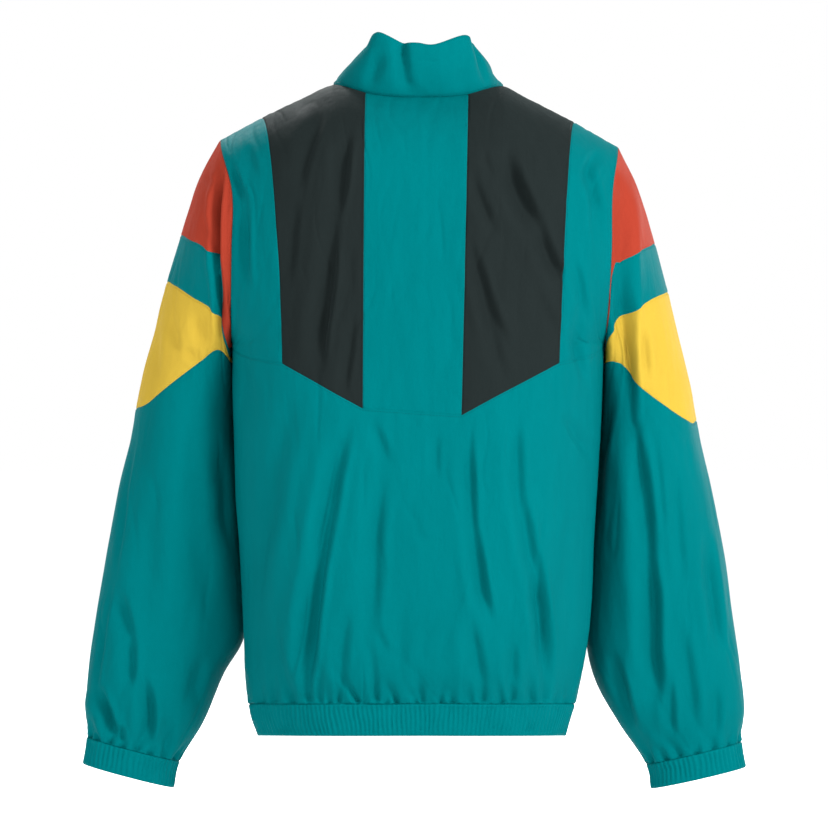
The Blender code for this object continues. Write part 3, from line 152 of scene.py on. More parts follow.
# Sleeve sections from the armhole to the cuff's end: the outermost and innermost point of each ring, seen
# from behind, the ring's half-depth, and how far forward it hangs. The cuff seam is the last row but one.
SLEEVES = {
    LEFT: table("""
     out_x   out_z   in_x    in_z depth forward
    0.2069 -0.0420 0.1960 -0.2565 0.070   0.000
    0.2275 -0.0750 0.1967 -0.2680 0.078   0.010
    0.2419 -0.1150 0.1959 -0.2820 0.080   0.022
    0.2548 -0.1550 0.1948 -0.2980 0.080   0.033
    0.2682 -0.2000 0.1938 -0.3160 0.079   0.040
    0.2819 -0.2500 0.1930 -0.3400 0.078   0.045
    0.2942 -0.3000 0.1908 -0.3740 0.076   0.047
    0.3053 -0.3600 0.1884 -0.4200 0.072   0.048
    0.3192 -0.4200 0.1860 -0.4680 0.066   0.048
    0.3301 -0.4800 0.1838 -0.5180 0.060   0.048
    0.3404 -0.5400 0.1845 -0.5660 0.053   0.046
    0.3478 -0.5900 0.2060 -0.6050 0.048   0.044
    0.3518 -0.6350 0.2265 -0.6540 0.043   0.042
    0.3507 -0.6700 0.2515 -0.6960 0.036   0.040
    0.3549 -0.6980 0.2578 -0.7235 0.033   0.040
    """),
    RIGHT: table("""
     out_x   out_z   in_x    in_z depth forward
    0.2095 -0.0500 0.1955 -0.2565 0.070   0.000
    0.2253 -0.0800 0.1959 -0.2680 0.078   0.010
    0.2395 -0.1180 0.1946 -0.2820 0.080   0.022
    0.2511 -0.1570 0.1935 -0.2980 0.080   0.033
    0.2633 -0.2000 0.1921 -0.3160 0.079   0.040
    0.2754 -0.2500 0.1905 -0.3410 0.078   0.045
    0.2878 -0.3000 0.1888 -0.3760 0.076   0.047
    0.3002 -0.3600 0.1855 -0.4220 0.072   0.048
    0.3127 -0.4200 0.1825 -0.4700 0.066   0.048
    0.3237 -0.4800 0.1795 -0.5200 0.060   0.048
    0.3316 -0.5400 0.1775 -0.5700 0.053   0.046
    0.3391 -0.5900 0.1875 -0.6130 0.048   0.044
    0.3448 -0.6400 0.2115 -0.6560 0.043   0.042
    0.3421 -0.6750 0.2399 -0.6993 0.036   0.040
    0.3463 -0.7014 0.2452 -0.7245 0.033   0.040
    """),
}
CUFF_RING = 13
CUFF_END_RING = 14

# Where each colour of the sleeve ends, in rings from the armhole, by the angle round from the outer edge.
BANDS = {
    LEFT: table("""
    angle  red band yellow
        0 2.75 3.83   6.45
       45 2.28 3.55   6.10
       75 1.48 3.06   5.20
      100 1.04 2.32   4.16
      121 1.34 1.66   2.95
      142 1.42 1.78   2.20
      180 0.60 1.00   1.50
    """),
    RIGHT: table("""
    angle  red band yellow
        0 2.86 4.05   6.62
       35 2.62 3.88   6.55
       75 1.68 3.28   5.72
      100 0.96 2.72   4.78
      121 0.66 1.85   3.70
      142 0.62 1.20   2.50
      180 0.60 1.00   1.55
    """),
}

# The collar's top edge by the angle round from the centre back, on each side.
COLLAR_TOP = {
    LEFT: table("""
    angle across   depth  height
        0 0.0000  0.0740  0.0550
       18 0.0190  0.0720  0.0567
       36 0.0420  0.0620  0.0668
       60 0.0530  0.0400  0.0560
       90 0.0625  0.0040  0.0430
      135 0.0460 -0.0560  0.0120
      180 0.0000 -0.0850 -0.0060
    """),
    RIGHT: table("""
    angle across   depth  height
        0 0.0000  0.0740  0.0550
       18 0.0170  0.0720  0.0535
       36 0.0475  0.0610  0.0638
       60 0.0590  0.0400  0.0540
       90 0.0655  0.0040  0.0400
      135 0.0470 -0.0560  0.0115
      180 0.0000 -0.0850 -0.0060
    """),
}

# Creases in the collar: place round it at its top in degrees from the centre back, how far the crease drifts
# down to the seam, its middle and half-length as shares of the height, depth, and half-width in degrees.
COLLAR_FOLDS = table("""
    angle drift level reach  depth width
       17    -9  0.80  0.62 0.0100   5.0
       27    12  0.45  0.24 0.0054   6.0
       33     4  0.20  0.18 0.0020   5.0
       75     4  0.50  0.45 0.0030   8.0
      104    -6  0.40  0.40 0.0018   5.0
      140    -4  0.45  0.50 0.0030   8.0
      -50    -3  0.60  0.45 0.0050   4.2
      -36     6  0.30  0.30 0.0024   3.6
      -84     0  0.38  0.26 0.0050  17.0
     -125     4  0.50  0.50 0.0030   8.0
""")

# Folds are soft troughs down the cloth, seen from behind: top and bottom ends, how far the middle bows
# towards +X, the depth and half-width of the trough, and its lean: at 1 the side towards -X is a steep
# wall and the other a long slope, at -1 the reverse.
FOLDS = {
    "torso back": table("""
      top_x  top_z   low_x  low_z    bow  depth  width lean
     0.0720 -0.026  0.0880 -0.135 -0.002 0.0074 0.0070  0.8
     0.0840 -0.105  0.1050 -0.300 -0.001 0.0095 0.0072  0.8
     0.0985 -0.008  0.1275 -0.110  0.002 0.0045 0.0070  0.6
     0.1265 -0.095  0.1370 -0.205 -0.001 0.0036 0.0065  0.6
     0.0660 -0.215  0.0770 -0.318  0.000 0.0032 0.0050  0.6
     0.0690 -0.150  0.0700 -0.215  0.000 0.0016 0.0050  0.4
    -0.0850 -0.050 -0.1300 -0.148  0.003 0.0112 0.0084  0.8
    -0.1220 -0.126 -0.1500 -0.198  0.001 0.0080 0.0068  0.8
    -0.0520 -0.076 -0.0820 -0.146  0.002 0.0044 0.0050  0.6
    -0.0490 -0.142 -0.0940 -0.268  0.002 0.0080 0.0062  0.7
    -0.0600 -0.195 -0.0930 -0.302  0.000 0.0034 0.0060  0.5
    -0.0640 -0.055 -0.0790 -0.090  0.000 0.0022 0.0040  0.6
    -0.1180 -0.200 -0.1440 -0.245  0.000 0.0026 0.0060  0.4
     0.1975 -0.066  0.1800 -0.112 -0.001 0.0056 0.0055  0.7
     0.1812 -0.098  0.1775 -0.205  0.001 0.0056 0.0060  0.7
     0.1800 -0.045  0.1680 -0.086  0.000 0.0026 0.0060  0.4
    -0.1900 -0.052 -0.1720 -0.094  0.003 0.0026 0.0055 -0.5
    -0.1740 -0.060 -0.1910 -0.124  0.002 0.0040 0.0052  0.6
    -0.1850 -0.088 -0.1860 -0.150  0.000 0.0030 0.0060  0.5
    -0.1560 -0.155 -0.1760 -0.245 -0.002 0.0036 0.0050  0.6
    -0.1640 -0.215 -0.1720 -0.290  0.001 0.0040 0.0055  0.6
    -0.1600 -0.235 -0.1790 -0.310  0.001 0.0028 0.0040  0.6
    -0.1480 -0.325 -0.1840 -0.378  0.003 0.0040 0.0055 -0.6
     0.1880 -0.255  0.1700 -0.345  0.000 0.0030 0.0070  0.3
     0.1280 -0.295  0.1800 -0.550  0.002 0.0062 0.0125  0.5
     0.0828 -0.352  0.1130 -0.500  0.001 0.0030 0.0042  0.8
     0.1105 -0.480  0.1340 -0.622  0.001 0.0036 0.0042  0.8
     0.0720 -0.330  0.1020 -0.500  0.002 0.0085 0.0080  0.7
     0.0930 -0.430  0.1175 -0.626  0.001 0.0105 0.0072  0.8
     0.0490 -0.334  0.0300 -0.384  0.001 0.0034 0.0055  0.4
     0.0410 -0.380  0.0520 -0.565 -0.002 0.0052 0.0085  0.6
     0.0725 -0.525  0.0830 -0.606  0.000 0.0032 0.0065  0.5
     0.0450 -0.545  0.0300 -0.580  0.000 0.0018 0.0045  0.4
    -0.0540 -0.332 -0.0600 -0.490  0.003 0.0062 0.0060  0.8
    -0.0575 -0.440 -0.0755 -0.548  0.002 0.0078 0.0062  0.8
    -0.0530 -0.535 -0.0670 -0.614  0.001 0.0044 0.0065  0.6
    -0.1035 -0.325 -0.1062 -0.445  0.002 0.0055 0.0060  0.7
    -0.1040 -0.405 -0.1260 -0.505  0.001 0.0078 0.0066  0.8
    -0.1215 -0.465 -0.1365 -0.612  0.000 0.0100 0.0064  0.8
    -0.0985 -0.560 -0.1000 -0.614  0.000 0.0034 0.0048  0.6
    -0.0190 -0.345 -0.0180 -0.400  0.000 0.0016 0.0045  0.5
     0.0160 -0.500  0.0200 -0.620  0.002 0.0018 0.0075  0.3
     0.1460 -0.545  0.1400 -0.622  0.000 0.0030 0.0060  0.4
    -0.1550 -0.440 -0.1620 -0.600  0.004 0.0034 0.0090  0.4
    """),
    "torso front": table("""
      top_x  top_z   low_x  low_z    bow  depth  width lean
     0.0880 -0.060  0.1200 -0.300  0.006 0.0070 0.0110  0.2
     0.0450 -0.090  0.0520 -0.250  0.003 0.0040 0.0085  0.0
     0.1300 -0.050  0.1500 -0.190  0.002 0.0040 0.0080  0.0
     0.1760 -0.090  0.1700 -0.220  0.002 0.0034 0.0075  0.0
     0.1850 -0.245  0.1560 -0.330  0.000 0.0042 0.0070  0.2
     0.1400 -0.240  0.1120 -0.470  0.006 0.0072 0.0120 -0.2
     0.0620 -0.330  0.0800 -0.620  0.008 0.0084 0.0095  0.3
     0.0280 -0.400  0.0330 -0.620  0.002 0.0048 0.0080  0.0
     0.1180 -0.430  0.1300 -0.620  0.006 0.0068 0.0090  0.2
     0.0860 -0.380  0.0980 -0.520  0.003 0.0034 0.0060  0.0
     0.1520 -0.400  0.1600 -0.560  0.003 0.0036 0.0080  0.0
    -0.0820 -0.050 -0.1260 -0.280 -0.008 0.0074 0.0110 -0.2
    -0.0420 -0.110 -0.0600 -0.270 -0.003 0.0040 0.0080  0.0
    -0.1340 -0.060 -0.1500 -0.170  0.000 0.0036 0.0080  0.0
    -0.1800 -0.100 -0.1720 -0.215  0.000 0.0034 0.0070  0.0
    -0.1880 -0.255 -0.1540 -0.345  0.000 0.0040 0.0070 -0.2
    -0.1450 -0.230 -0.1080 -0.440 -0.005 0.0072 0.0120  0.2
    -0.0500 -0.350 -0.0700 -0.620 -0.010 0.0088 0.0090 -0.3
    -0.0260 -0.430 -0.0300 -0.620 -0.002 0.0044 0.0075  0.0
    -0.1120 -0.400 -0.1240 -0.620 -0.006 0.0072 0.0095 -0.2
    -0.0860 -0.420 -0.0940 -0.560 -0.002 0.0030 0.0060  0.0
    -0.1560 -0.420 -0.1600 -0.580 -0.003 0.0036 0.0080  0.0
    """),
    "sleeve left back": table("""
     top_x  top_z  low_x  low_z    bow  depth  width lean
    0.2052 -0.060 0.2100 -0.190  0.002 0.0140 0.0036  0.3
    0.2098 -0.140 0.2030 -0.262  0.001 0.0120 0.0036  0.2
    0.2240 -0.120 0.2110 -0.168  0.001 0.0032 0.0045  0.5
    0.2260 -0.078 0.2120 -0.096  0.000 0.0026 0.0036  0.0
    0.2560 -0.222 0.2500 -0.270  0.002 0.0034 0.0050  0.6
    0.2505 -0.262 0.2290 -0.282 -0.004 0.0036 0.0048 -0.5
    0.2280 -0.215 0.2240 -0.268  0.000 0.0036 0.0070  0.3
    0.2700 -0.215 0.2760 -0.300  0.002 0.0026 0.0060  0.4
    0.2930 -0.325 0.3190 -0.510  0.002 0.0024 0.0026  0.4
    0.3190 -0.490 0.3420 -0.640  0.001 0.0024 0.0026  0.4
    0.3400 -0.612 0.3190 -0.676 -0.002 0.0095 0.0055  0.7
    0.3130 -0.655 0.3120 -0.676  0.000 0.0040 0.0036  0.4
    0.3160 -0.515 0.3020 -0.570 -0.001 0.0070 0.0065  0.7
    0.3035 -0.552 0.3050 -0.622 -0.002 0.0070 0.0062  0.7
    0.2910 -0.600 0.2870 -0.684 -0.008 0.0084 0.0060  0.7
    0.2620 -0.640 0.2640 -0.690  0.000 0.0040 0.0060  0.4
    0.2250 -0.580 0.2380 -0.640  0.002 0.0034 0.0065  0.3
    0.2330 -0.330 0.2230 -0.560  0.003 0.0044 0.0140  0.4
    0.2700 -0.360 0.2860 -0.560  0.004 0.0030 0.0120  0.4
    0.2050 -0.345 0.2000 -0.480  0.000 0.0040 0.0080  0.3
    """),
    "sleeve left front": table("""
     top_x  top_z  low_x  low_z    bow  depth  width lean
    0.2080 -0.110 0.2060 -0.250  0.001 0.0080 0.0065  0.0
    0.2300 -0.130 0.2340 -0.260  0.002 0.0046 0.0080  0.0
    0.2400 -0.300 0.2550 -0.560  0.006 0.0082 0.0120  0.2
    0.2100 -0.360 0.2500 -0.420  0.004 0.0048 0.0070  0.0
    0.2850 -0.380 0.2400 -0.440 -0.004 0.0044 0.0070  0.0
    0.2900 -0.400 0.3050 -0.640  0.004 0.0062 0.0100  0.2
    0.2650 -0.580 0.2850 -0.684  0.002 0.0066 0.0075  0.0
    0.3180 -0.600 0.3240 -0.670  0.002 0.0050 0.0065  0.0
    0.2300 -0.560 0.2440 -0.640  0.002 0.0040 0.0070  0.0
    """),
    "sleeve right back": table("""
      top_x  top_z   low_x  low_z    bow  depth  width lean
    -0.2135 -0.045 -0.2210 -0.375  0.000 0.0125 0.0098  0.8
    -0.2060 -0.070 -0.2120 -0.100  0.000 0.0030 0.0040  0.3
    -0.2340 -0.230 -0.2400 -0.300  0.000 0.0040 0.0050  0.5
    -0.2480 -0.225 -0.2560 -0.300  0.000 0.0022 0.0060  0.4
    -0.2050 -0.190 -0.2075 -0.310  0.000 0.0030 0.0042  0.5
    -0.2190 -0.322 -0.2420 -0.500 -0.006 0.0110 0.0080  0.6
    -0.2380 -0.440 -0.2500 -0.655 -0.002 0.0125 0.0085  0.7
    -0.2030 -0.300 -0.1850 -0.470  0.004 0.0066 0.0065  0.5
    -0.2280 -0.340 -0.2330 -0.430  0.000 0.0026 0.0042  0.5
    -0.2440 -0.340 -0.2560 -0.470 -0.002 0.0026 0.0045  0.5
    -0.2680 -0.380 -0.2780 -0.520  0.000 0.0024 0.0050  0.5
    -0.3020 -0.445 -0.3190 -0.590 -0.002 0.0072 0.0056  0.7
    -0.2020 -0.575 -0.2270 -0.668  0.000 0.0075 0.0065  0.6
    -0.2740 -0.540 -0.2900 -0.668 -0.002 0.0052 0.0070  0.5
    -0.2640 -0.600 -0.2660 -0.676  0.000 0.0042 0.0050  0.5
    -0.3130 -0.610 -0.3120 -0.672  0.000 0.0048 0.0055  0.5
    -0.2880 -0.300 -0.3080 -0.400  0.000 0.0020 0.0060  0.3
    """),
    "sleeve right front": table("""
      top_x  top_z   low_x  low_z    bow  depth  width lean
    -0.2080 -0.110 -0.2060 -0.250  0.001 0.0080 0.0065  0.0
    -0.2320 -0.120 -0.2360 -0.250  0.000 0.0044 0.0080  0.0
    -0.2350 -0.320 -0.2600 -0.600 -0.006 0.0082 0.0120 -0.2
    -0.2060 -0.360 -0.2480 -0.425  0.000 0.0046 0.0070  0.0
    -0.2820 -0.370 -0.2380 -0.430  0.004 0.0044 0.0070  0.0
    -0.2850 -0.380 -0.3050 -0.620 -0.004 0.0062 0.0100 -0.2
    -0.2450 -0.580 -0.2650 -0.678 -0.002 0.0066 0.0075  0.0
    -0.3060 -0.600 -0.3140 -0.672 -0.002 0.0050 0.0065  0.0
    """),
}

# Gathers where cloth meets an elastic band, seen from behind: place along the seam, how far the crease leans
# over at its top, its depth, half-width and length.
HEM_GATHERS = {
    BACK: table("""
     across   lean  depth  width reach
     0.1640  0.002 0.0040 0.0040 0.016
     0.1500  0.002 0.0046 0.0036 0.028
     0.1340  0.003 0.0030 0.0036 0.020
     0.1290  0.003 0.0034 0.0030 0.012
     0.1150  0.002 0.0052 0.0042 0.040
     0.1030  0.000 0.0046 0.0034 0.034
     0.0930  0.001 0.0030 0.0030 0.012
     0.0840 -0.004 0.0040 0.0034 0.022
     0.0620  0.013 0.0060 0.0032 0.020
     0.0430  0.004 0.0060 0.0034 0.036
     0.0330  0.000 0.0030 0.0028 0.009
     0.0220  0.006 0.0052 0.0032 0.012
     0.0020  0.003 0.0046 0.0032 0.008
    -0.0050  0.004 0.0050 0.0030 0.016
    -0.0230  0.000 0.0030 0.0030 0.010
    -0.0350  0.002 0.0034 0.0034 0.009
    -0.0520  0.000 0.0034 0.0032 0.014
    -0.0670  0.002 0.0050 0.0036 0.026
    -0.0860  0.003 0.0040 0.0032 0.014
    -0.0990  0.004 0.0050 0.0032 0.022
    -0.1180  0.002 0.0052 0.0034 0.018
    -0.1320  0.000 0.0050 0.0036 0.032
    -0.1450 -0.002 0.0036 0.0034 0.016
    -0.1560 -0.002 0.0040 0.0036 0.022
    """),
    FRONT: table("""
     across   lean  depth  width reach
     0.1600  0.002 0.0042 0.0036 0.018
     0.1450  0.003 0.0050 0.0034 0.028
     0.1290 -0.002 0.0040 0.0034 0.014
     0.1120  0.004 0.0056 0.0036 0.032
     0.0960  0.000 0.0040 0.0030 0.012
     0.0790  0.003 0.0056 0.0034 0.026
     0.0600  0.004 0.0046 0.0032 0.018
     0.0420 -0.003 0.0040 0.0032 0.012
     0.0280  0.002 0.0050 0.0034 0.024
     0.0150  0.000 0.0034 0.0028 0.010
    -0.0160  0.000 0.0036 0.0028 0.012
    -0.0310 -0.002 0.0050 0.0034 0.026
    -0.0460  0.002 0.0040 0.0032 0.012
    -0.0690 -0.004 0.0056 0.0034 0.030
    -0.0850  0.000 0.0040 0.0030 0.014
    -0.1020 -0.003 0.0050 0.0034 0.020
    -0.1220  0.000 0.0056 0.0036 0.028
    -0.1370  0.002 0.0040 0.0034 0.014
    -0.1490 -0.002 0.0042 0.0034 0.020
    """),
}
# Round a cuff: the angle on its seam, how many degrees it leans, depth, half-width in degrees, and length in
# rings.
CUFF_GATHERS = table("""
    angle lean  depth width reach
     -168    3 0.0036   5.0  0.22
     -150   -4 0.0046   4.5  0.40
     -126    3 0.0040   4.5  0.25
     -108    5 0.0050   5.0  0.45
      -88   -3 0.0040   4.0  0.22
      -66    4 0.0048   4.5  0.38
      -44    0 0.0040   4.5  0.25
      -20   -3 0.0040   5.0  0.34
        4    2 0.0036   4.5  0.22
       24    4 0.0044   4.5  0.34
       42   -4 0.0046   4.0  0.25
       60    3 0.0050   4.5  0.40
       78   -2 0.0042   4.0  0.22
       94    4 0.0052   4.5  0.45
      112    0 0.0040   4.0  0.24
      132   -4 0.0050   4.5  0.40
      152    3 0.0044   4.5  0.28
      170    0 0.0036   4.5  0.22
""")


# ---------------------------------------------------------------- small tools

def lerp(start, end, share):
    return start + (end - start) * share


def curve(places, values, place):
    """A smooth curve through a table's points, level beyond its ends."""
    slopes = np.gradient(values, places)
    place = np.clip(place, places[0], places[-1])
    cell = np.clip(np.searchsorted(places, place) - 1, 0, len(places) - 2)
    width = places[cell + 1] - places[cell]
    t = (place - places[cell]) / width
    return ((1 + 2 * t) * (1 - t) ** 2 * values[cell] + t * (1 - t) ** 2 * width * slopes[cell]
            + t * t * (3 - 2 * t) * values[cell + 1] - t * t * (1 - t) * width * slopes[cell + 1])


def smoothstep(share):
    share = np.clip(share, 0.0, 1.0)
    return share * share * (3 - 2 * share)


def points(x, y, z):
    return np.stack(np.broadcast_arrays(x, y, z), axis=-1).astype(float)


def unit(vectors):
    return vectors / np.maximum(np.linalg.norm(vectors, axis=-1, keepdims=True), 1e-12)


def facing(normal, outward):
    """The normals, turned where needed to the side that outward gives."""
    return normal * np.where(np.sum(normal * outward, axis=-1, keepdims=True) < 0, -1, 1)


def by_sign(value, make):
    """make(1) where a value is 0 or more and make(-1) elsewhere: left or right, back or front."""
    above, below = make(1), make(-1)
    choose = np.asarray(value) >= 0
    return np.where(choose[..., None] if above.ndim > choose.ndim else choose, above, below)


SCRAMBLE_U, SCRAMBLE_V, SCRAMBLE_SEED, SCRAMBLE = 374761393, 668265263, 982451653, 1274126177
NOISE_HEIGHT = 1.5


def noise(u, v, seed):
    """Smooth noise between about -1 and 1, its lumps one unit apart."""
    cell_u, cell_v = np.floor(u).astype(np.int64), np.floor(v).astype(np.int64)
    part_u, part_v = u - cell_u, v - cell_v

    def corner(a, b):
        key = (cell_u + a) * SCRAMBLE_U + (cell_v + b) * SCRAMBLE_V + int(seed) * SCRAMBLE_SEED
        key = (key ^ (key >> 13)) * SCRAMBLE
        turn = ((key ^ (key >> 16)) & 0xFFFF) / 0xFFFF * 2 * np.pi
        return np.cos(turn) * (part_u - a) + np.sin(turn) * (part_v - b)

    ease_u, ease_v = smoothstep(part_u), smoothstep(part_v)
    low, high = (lerp(corner(0, b), corner(1, b), ease_u) for b in (0, 1))
    return NOISE_HEIGHT * lerp(low, high, ease_v)


def steps(length, spacing, start=True, end=True):
    """Shares from 0 to 1 along a length, with extra ones beside a seam at its start and end."""
    near = np.array(NEAR_SEAM) / length
    even = np.linspace(0, 1, max(3, round(length / spacing)) + 1)[1:-1]
    return np.concatenate([near if start else near[:1], even, 1 - (near if end else near[:1])[::-1]])


def close_start(share):
    """Shares with closer ones near the start, for the gathers above an elastic seam."""
    close = np.linspace(0.0, CLOSE_SHARE, CLOSE_COUNT)[2:]
    return np.concatenate([share[share < 0.08 * CLOSE_SHARE], close, share[share > 1.05 * CLOSE_SHARE]])


def travel(grid, axis=0):
    """Distance along a grid's rows or columns, or along a path, from the first point."""
    gaps = np.linalg.norm(np.diff(grid, axis=axis), axis=-1)
    first = np.zeros_like(np.take(gaps, [0], axis=axis))
    return np.concatenate([first, np.cumsum(gaps, axis=axis)], axis=axis)


def read_at(places, reach, path):
    """Points read from a path at distances along it; reach gives the path's own distances."""
    return np.stack([np.interp(places, reach, path[:, axis]) for axis in range(3)], axis=-1)


def resample(path, count):
    reach = travel(path)
    return read_at(np.linspace(0, reach[-1], count), reach, path)


# ---------------------------------------------------------------- torso surface

NORMAL_STEP, LENGTH_STEP = 1e-3, 5e-4
BELOW = 0.05               # normals point away from the middle of the body this far below


def ridge_height(across):
    return curve(RIDGE.across, RIDGE.height, across)


def roll_radius(across, face):
    return curve(RIDGE.across, RIDGE.back_roll if face == BACK else RIDGE.front_roll, across)


def rolled(length, top, radius):
    """Height and remaining depth share of a point, length along cloth that rolls over to a ridge."""
    turn = np.clip((length - (top - radius)) / radius, 0.0, np.pi / 2)
    height = np.where(length < top - radius, length, top - radius + radius * np.sin(turn))
    return height, np.cos(turn)


def section(length, face, hand):
    """Half-width, depth and angular reach of one quarter of a torso section."""
    tip = TIP[hand]
    height, _ = rolled(length, ridge_height(tip), roll_radius(tip, face))
    edge = curve(TORSO.height, TORSO.left if hand == LEFT else TORSO.right, height)
    depth = curve(TORSO.height, TORSO.back if face == BACK else TORSO.front, height)
    rise = np.clip((length - ARMPIT) / SCYE_RISE, 0.0, 1.0)
    scye = SCYE_DEPTH[face] * np.sqrt(np.maximum(1 - (1 - rise) ** 2, 0.0))
    cosine = scye / depth
    sine = (1 - cosine ** SQUARENESS) ** (1 / SQUARENESS)
    return edge / sine, depth, np.arctan2(sine, cosine)


def boxy(angle, power):
    """Radius of a boxy round by its angle, 1 on the axes."""
    return (np.abs(np.sin(angle)) ** power + np.abs(np.cos(angle)) ** power) ** (-1 / power)


def torso(around, length, face):
    """Torso point: around runs from -1, the right edge, by the centre to 1, the left edge."""
    around, length = np.broadcast_arrays(np.asarray(around, float), np.asarray(length, float))

    def quarter(hand):
        half_width, depth, reach = section(length, face, hand)
        angle = np.abs(around) * reach
        radius = boxy(angle, SQUARENESS)
        return np.stack([hand * half_width * radius * np.sin(angle), depth * radius * np.cos(angle)], axis=-1)

    across, depth = np.moveaxis(by_sign(around, quarter), -1, 0)
    height, share = rolled(length, ridge_height(across), roll_radius(across, face))
    arch = HEM_ARCH * (1 - around ** 2) * smoothstep((ARCH_TOP - length) / ARCH_REACH)
    return points(across, face * depth * share, height + arch)


def around_at(across, length, face):
    """The torso's around value at a distance from the centre plane."""
    across, length = np.broadcast_arrays(np.asarray(across, float), np.asarray(length, float))

    def quarter(hand):
        half_width, _, reach = section(length, face, hand)
        sine = np.clip(np.abs(across) / half_width, 0.0, 1.0)
        return hand * np.arctan2(sine, (1 - sine ** SQUARENESS) ** (1 / SQUARENESS)) / reach

    return by_sign(across, quarter)


def top_length(across, face):
    """Length up the cloth at which a column reaches the neck seam or the shoulder ridge."""
    radius = roll_radius(across, face)
    share = np.clip(np.abs(across) / NECK_HALF, 0.0, 1.0)
    drop = NECK_DROP[face] * (1 - share ** NECK_POWER)
    return ridge_height(across) - radius + radius * np.arcsin(np.clip(1 - drop / radius, -1.0, 1.0))


def tip_length(hand, face):
    """Length up the cloth at the shoulder tip."""
    return top_length(np.array(TIP[hand]), face)


def surface_normal(surface, u, v, step_u, step_v, outward):
    """Unit normal of a surface by differences, turned to the side that outward gives."""
    along_u = surface(u + step_u, v) - surface(u - step_u, v)
    along_v = surface(u, v + step_v) - surface(u, v - step_v)
    return facing(unit(np.cross(along_u, along_v)), outward)


def torso_normal(around, length, face):
    place = torso(around, length, face)
    outward = place - points(0.0, 0.0, place[..., 2] - BELOW)
    u = np.clip(around, -1 + 2 * NORMAL_STEP, 1 - 2 * NORMAL_STEP)
    v = np.minimum(length, top_length(place[..., 0], face) - 2 * LENGTH_STEP)
    return surface_normal(lambda a, b: torso(a, b, face), u, v, NORMAL_STEP, LENGTH_STEP, outward)


# ---------------------------------------------------------------- sleeve surface

ANGLE_STEP, RING_STEP = 0.01, 0.01


def armhole_normal(angle, hand):
    """The direction that both walls are offset along at the armhole seam."""
    lean = ARMHOLE_LEAN * (1 + np.cos(angle)) / 2 * hand
    return unit(points(lean, np.sin(angle), np.cos(angle)))


def armhole(angle, hand):
    """The armhole's edge by the angle from the shoulder tip; positive angles are on the back."""
    def edge(face):
        length = lerp(ARMPIT, tip_length(hand, face), (1 + np.cos(angle)) / 2)
        return torso(np.full_like(angle, hand), length, face)

    return by_sign(angle, edge)


def sleeve(angle, ring, hand):
    """Sleeve point: angle from the outer edge (positive on the back), ring from the armhole down."""
    angle, ring = np.broadcast_arrays(np.asarray(angle, float), np.asarray(ring, float))
    rows = SLEEVES[hand]
    count = np.arange(len(rows.depth), dtype=float)
    out_x, out_z, in_x, in_z, depth, forward = (curve(count, values, ring) for values in vars(rows).values())
    radius = boxy(angle, SLEEVE_SQUARENESS)
    swing = radius * np.cos(angle)
    tube = points(hand * ((out_x + in_x) / 2 + swing * (out_x - in_x) / 2),
                  depth * radius * np.sin(angle) - forward,
                  (out_z + in_z) / 2 + swing * (out_z - in_z) / 2)
    start = armhole(angle, hand) + np.array([hand * ARMHOLE_CLEAR, 0.0, 0.0])
    return lerp(start, tube, smoothstep(ring / SHAPE_BLEND)[..., None])


def sleeve_normal(angle, ring, hand):
    angle, ring = np.broadcast_arrays(np.asarray(angle, float), np.asarray(ring, float))
    outer, inner = sleeve(0 * angle, ring, hand), sleeve(0 * angle + np.pi, ring, hand)
    outward = sleeve(angle, ring, hand) - (outer + inner) / 2
    inside = np.clip(ring, 2 * RING_STEP, CUFF_END_RING - 2 * RING_STEP)
    normal = surface_normal(lambda a, b: sleeve(a, b, hand), angle, inside, ANGLE_STEP, RING_STEP, outward)
    normal = unit(lerp(armhole_normal(angle, hand), normal, smoothstep(ring / ARMHOLE_BLEND)[..., None]))
    across = unit(outer - inner)
    level = unit(across * np.sum(normal * across, axis=-1, keepdims=True)
                 + np.array([0.0, 1.0, 0.0]) * normal[..., 1:2])
    near_cuff = smoothstep((ring - CUFF_RING) / CUFF_BLEND + 1)[..., None]
    return unit(lerp(normal, level, near_cuff))


def band_end(colour, angle, hand):
    rows = BANDS[hand]
    return curve(rows.angle, getattr(rows, colour), np.degrees(np.abs(angle)))


# ---------------------------------------------------------------- folds, gathers, seams

STEEP = 0.50               # how much of a fold's half-width a full lean takes from one side
WANDER, WANDER_LENGTH = 0.0016, 0.055       # how far a fold strays, and over what length
UNEVEN, UNEVEN_LENGTH, UNEVEN_ROW = 0.25, 0.09, 7.5   # how much its depth changes, and over what length
FOLD_START, FOLD_END = 0.42, 0.36     # shares of its length over which a fold sinks in and dies away
SWELL, SWELL_PLACE, SWELL_HALF = 0.22, 2.1, 0.8       # the rise beside it, in shares of it

# Fine unevenness: width and length of the lumps, and their number after the surface's seed.
CRINKLES = {"warp": (0.060, 0.090, 1), "soft": (0.045, 0.170, 2), "line": (0.030, 0.110, 3),
            "patch": (0.050, 0.060, 4), "fine": (0.012, 0.035, 5)}
CRINKLE_WARP, SOFT_HEIGHT, CRISP_HEIGHT, FINE_HEIGHT = 0.6, 0.0006, 0.0009, 0.00026
CRISP_HALF = 0.11

GATHER_START, GATHER_SPREAD, GATHER_FALL = 0.10, 0.6, 1.6   # a gather's sinking in, widening and dying away
RIPPLE_LENGTH = 0.020
HEM_RIPPLE = dict(height=0.0020, reach=0.008, start=0.001, width=0.0056)
CUFF_RIPPLE = dict(height=0.0010, reach=0.25, start=0.04, width=0.0060)    # reach and start in rings

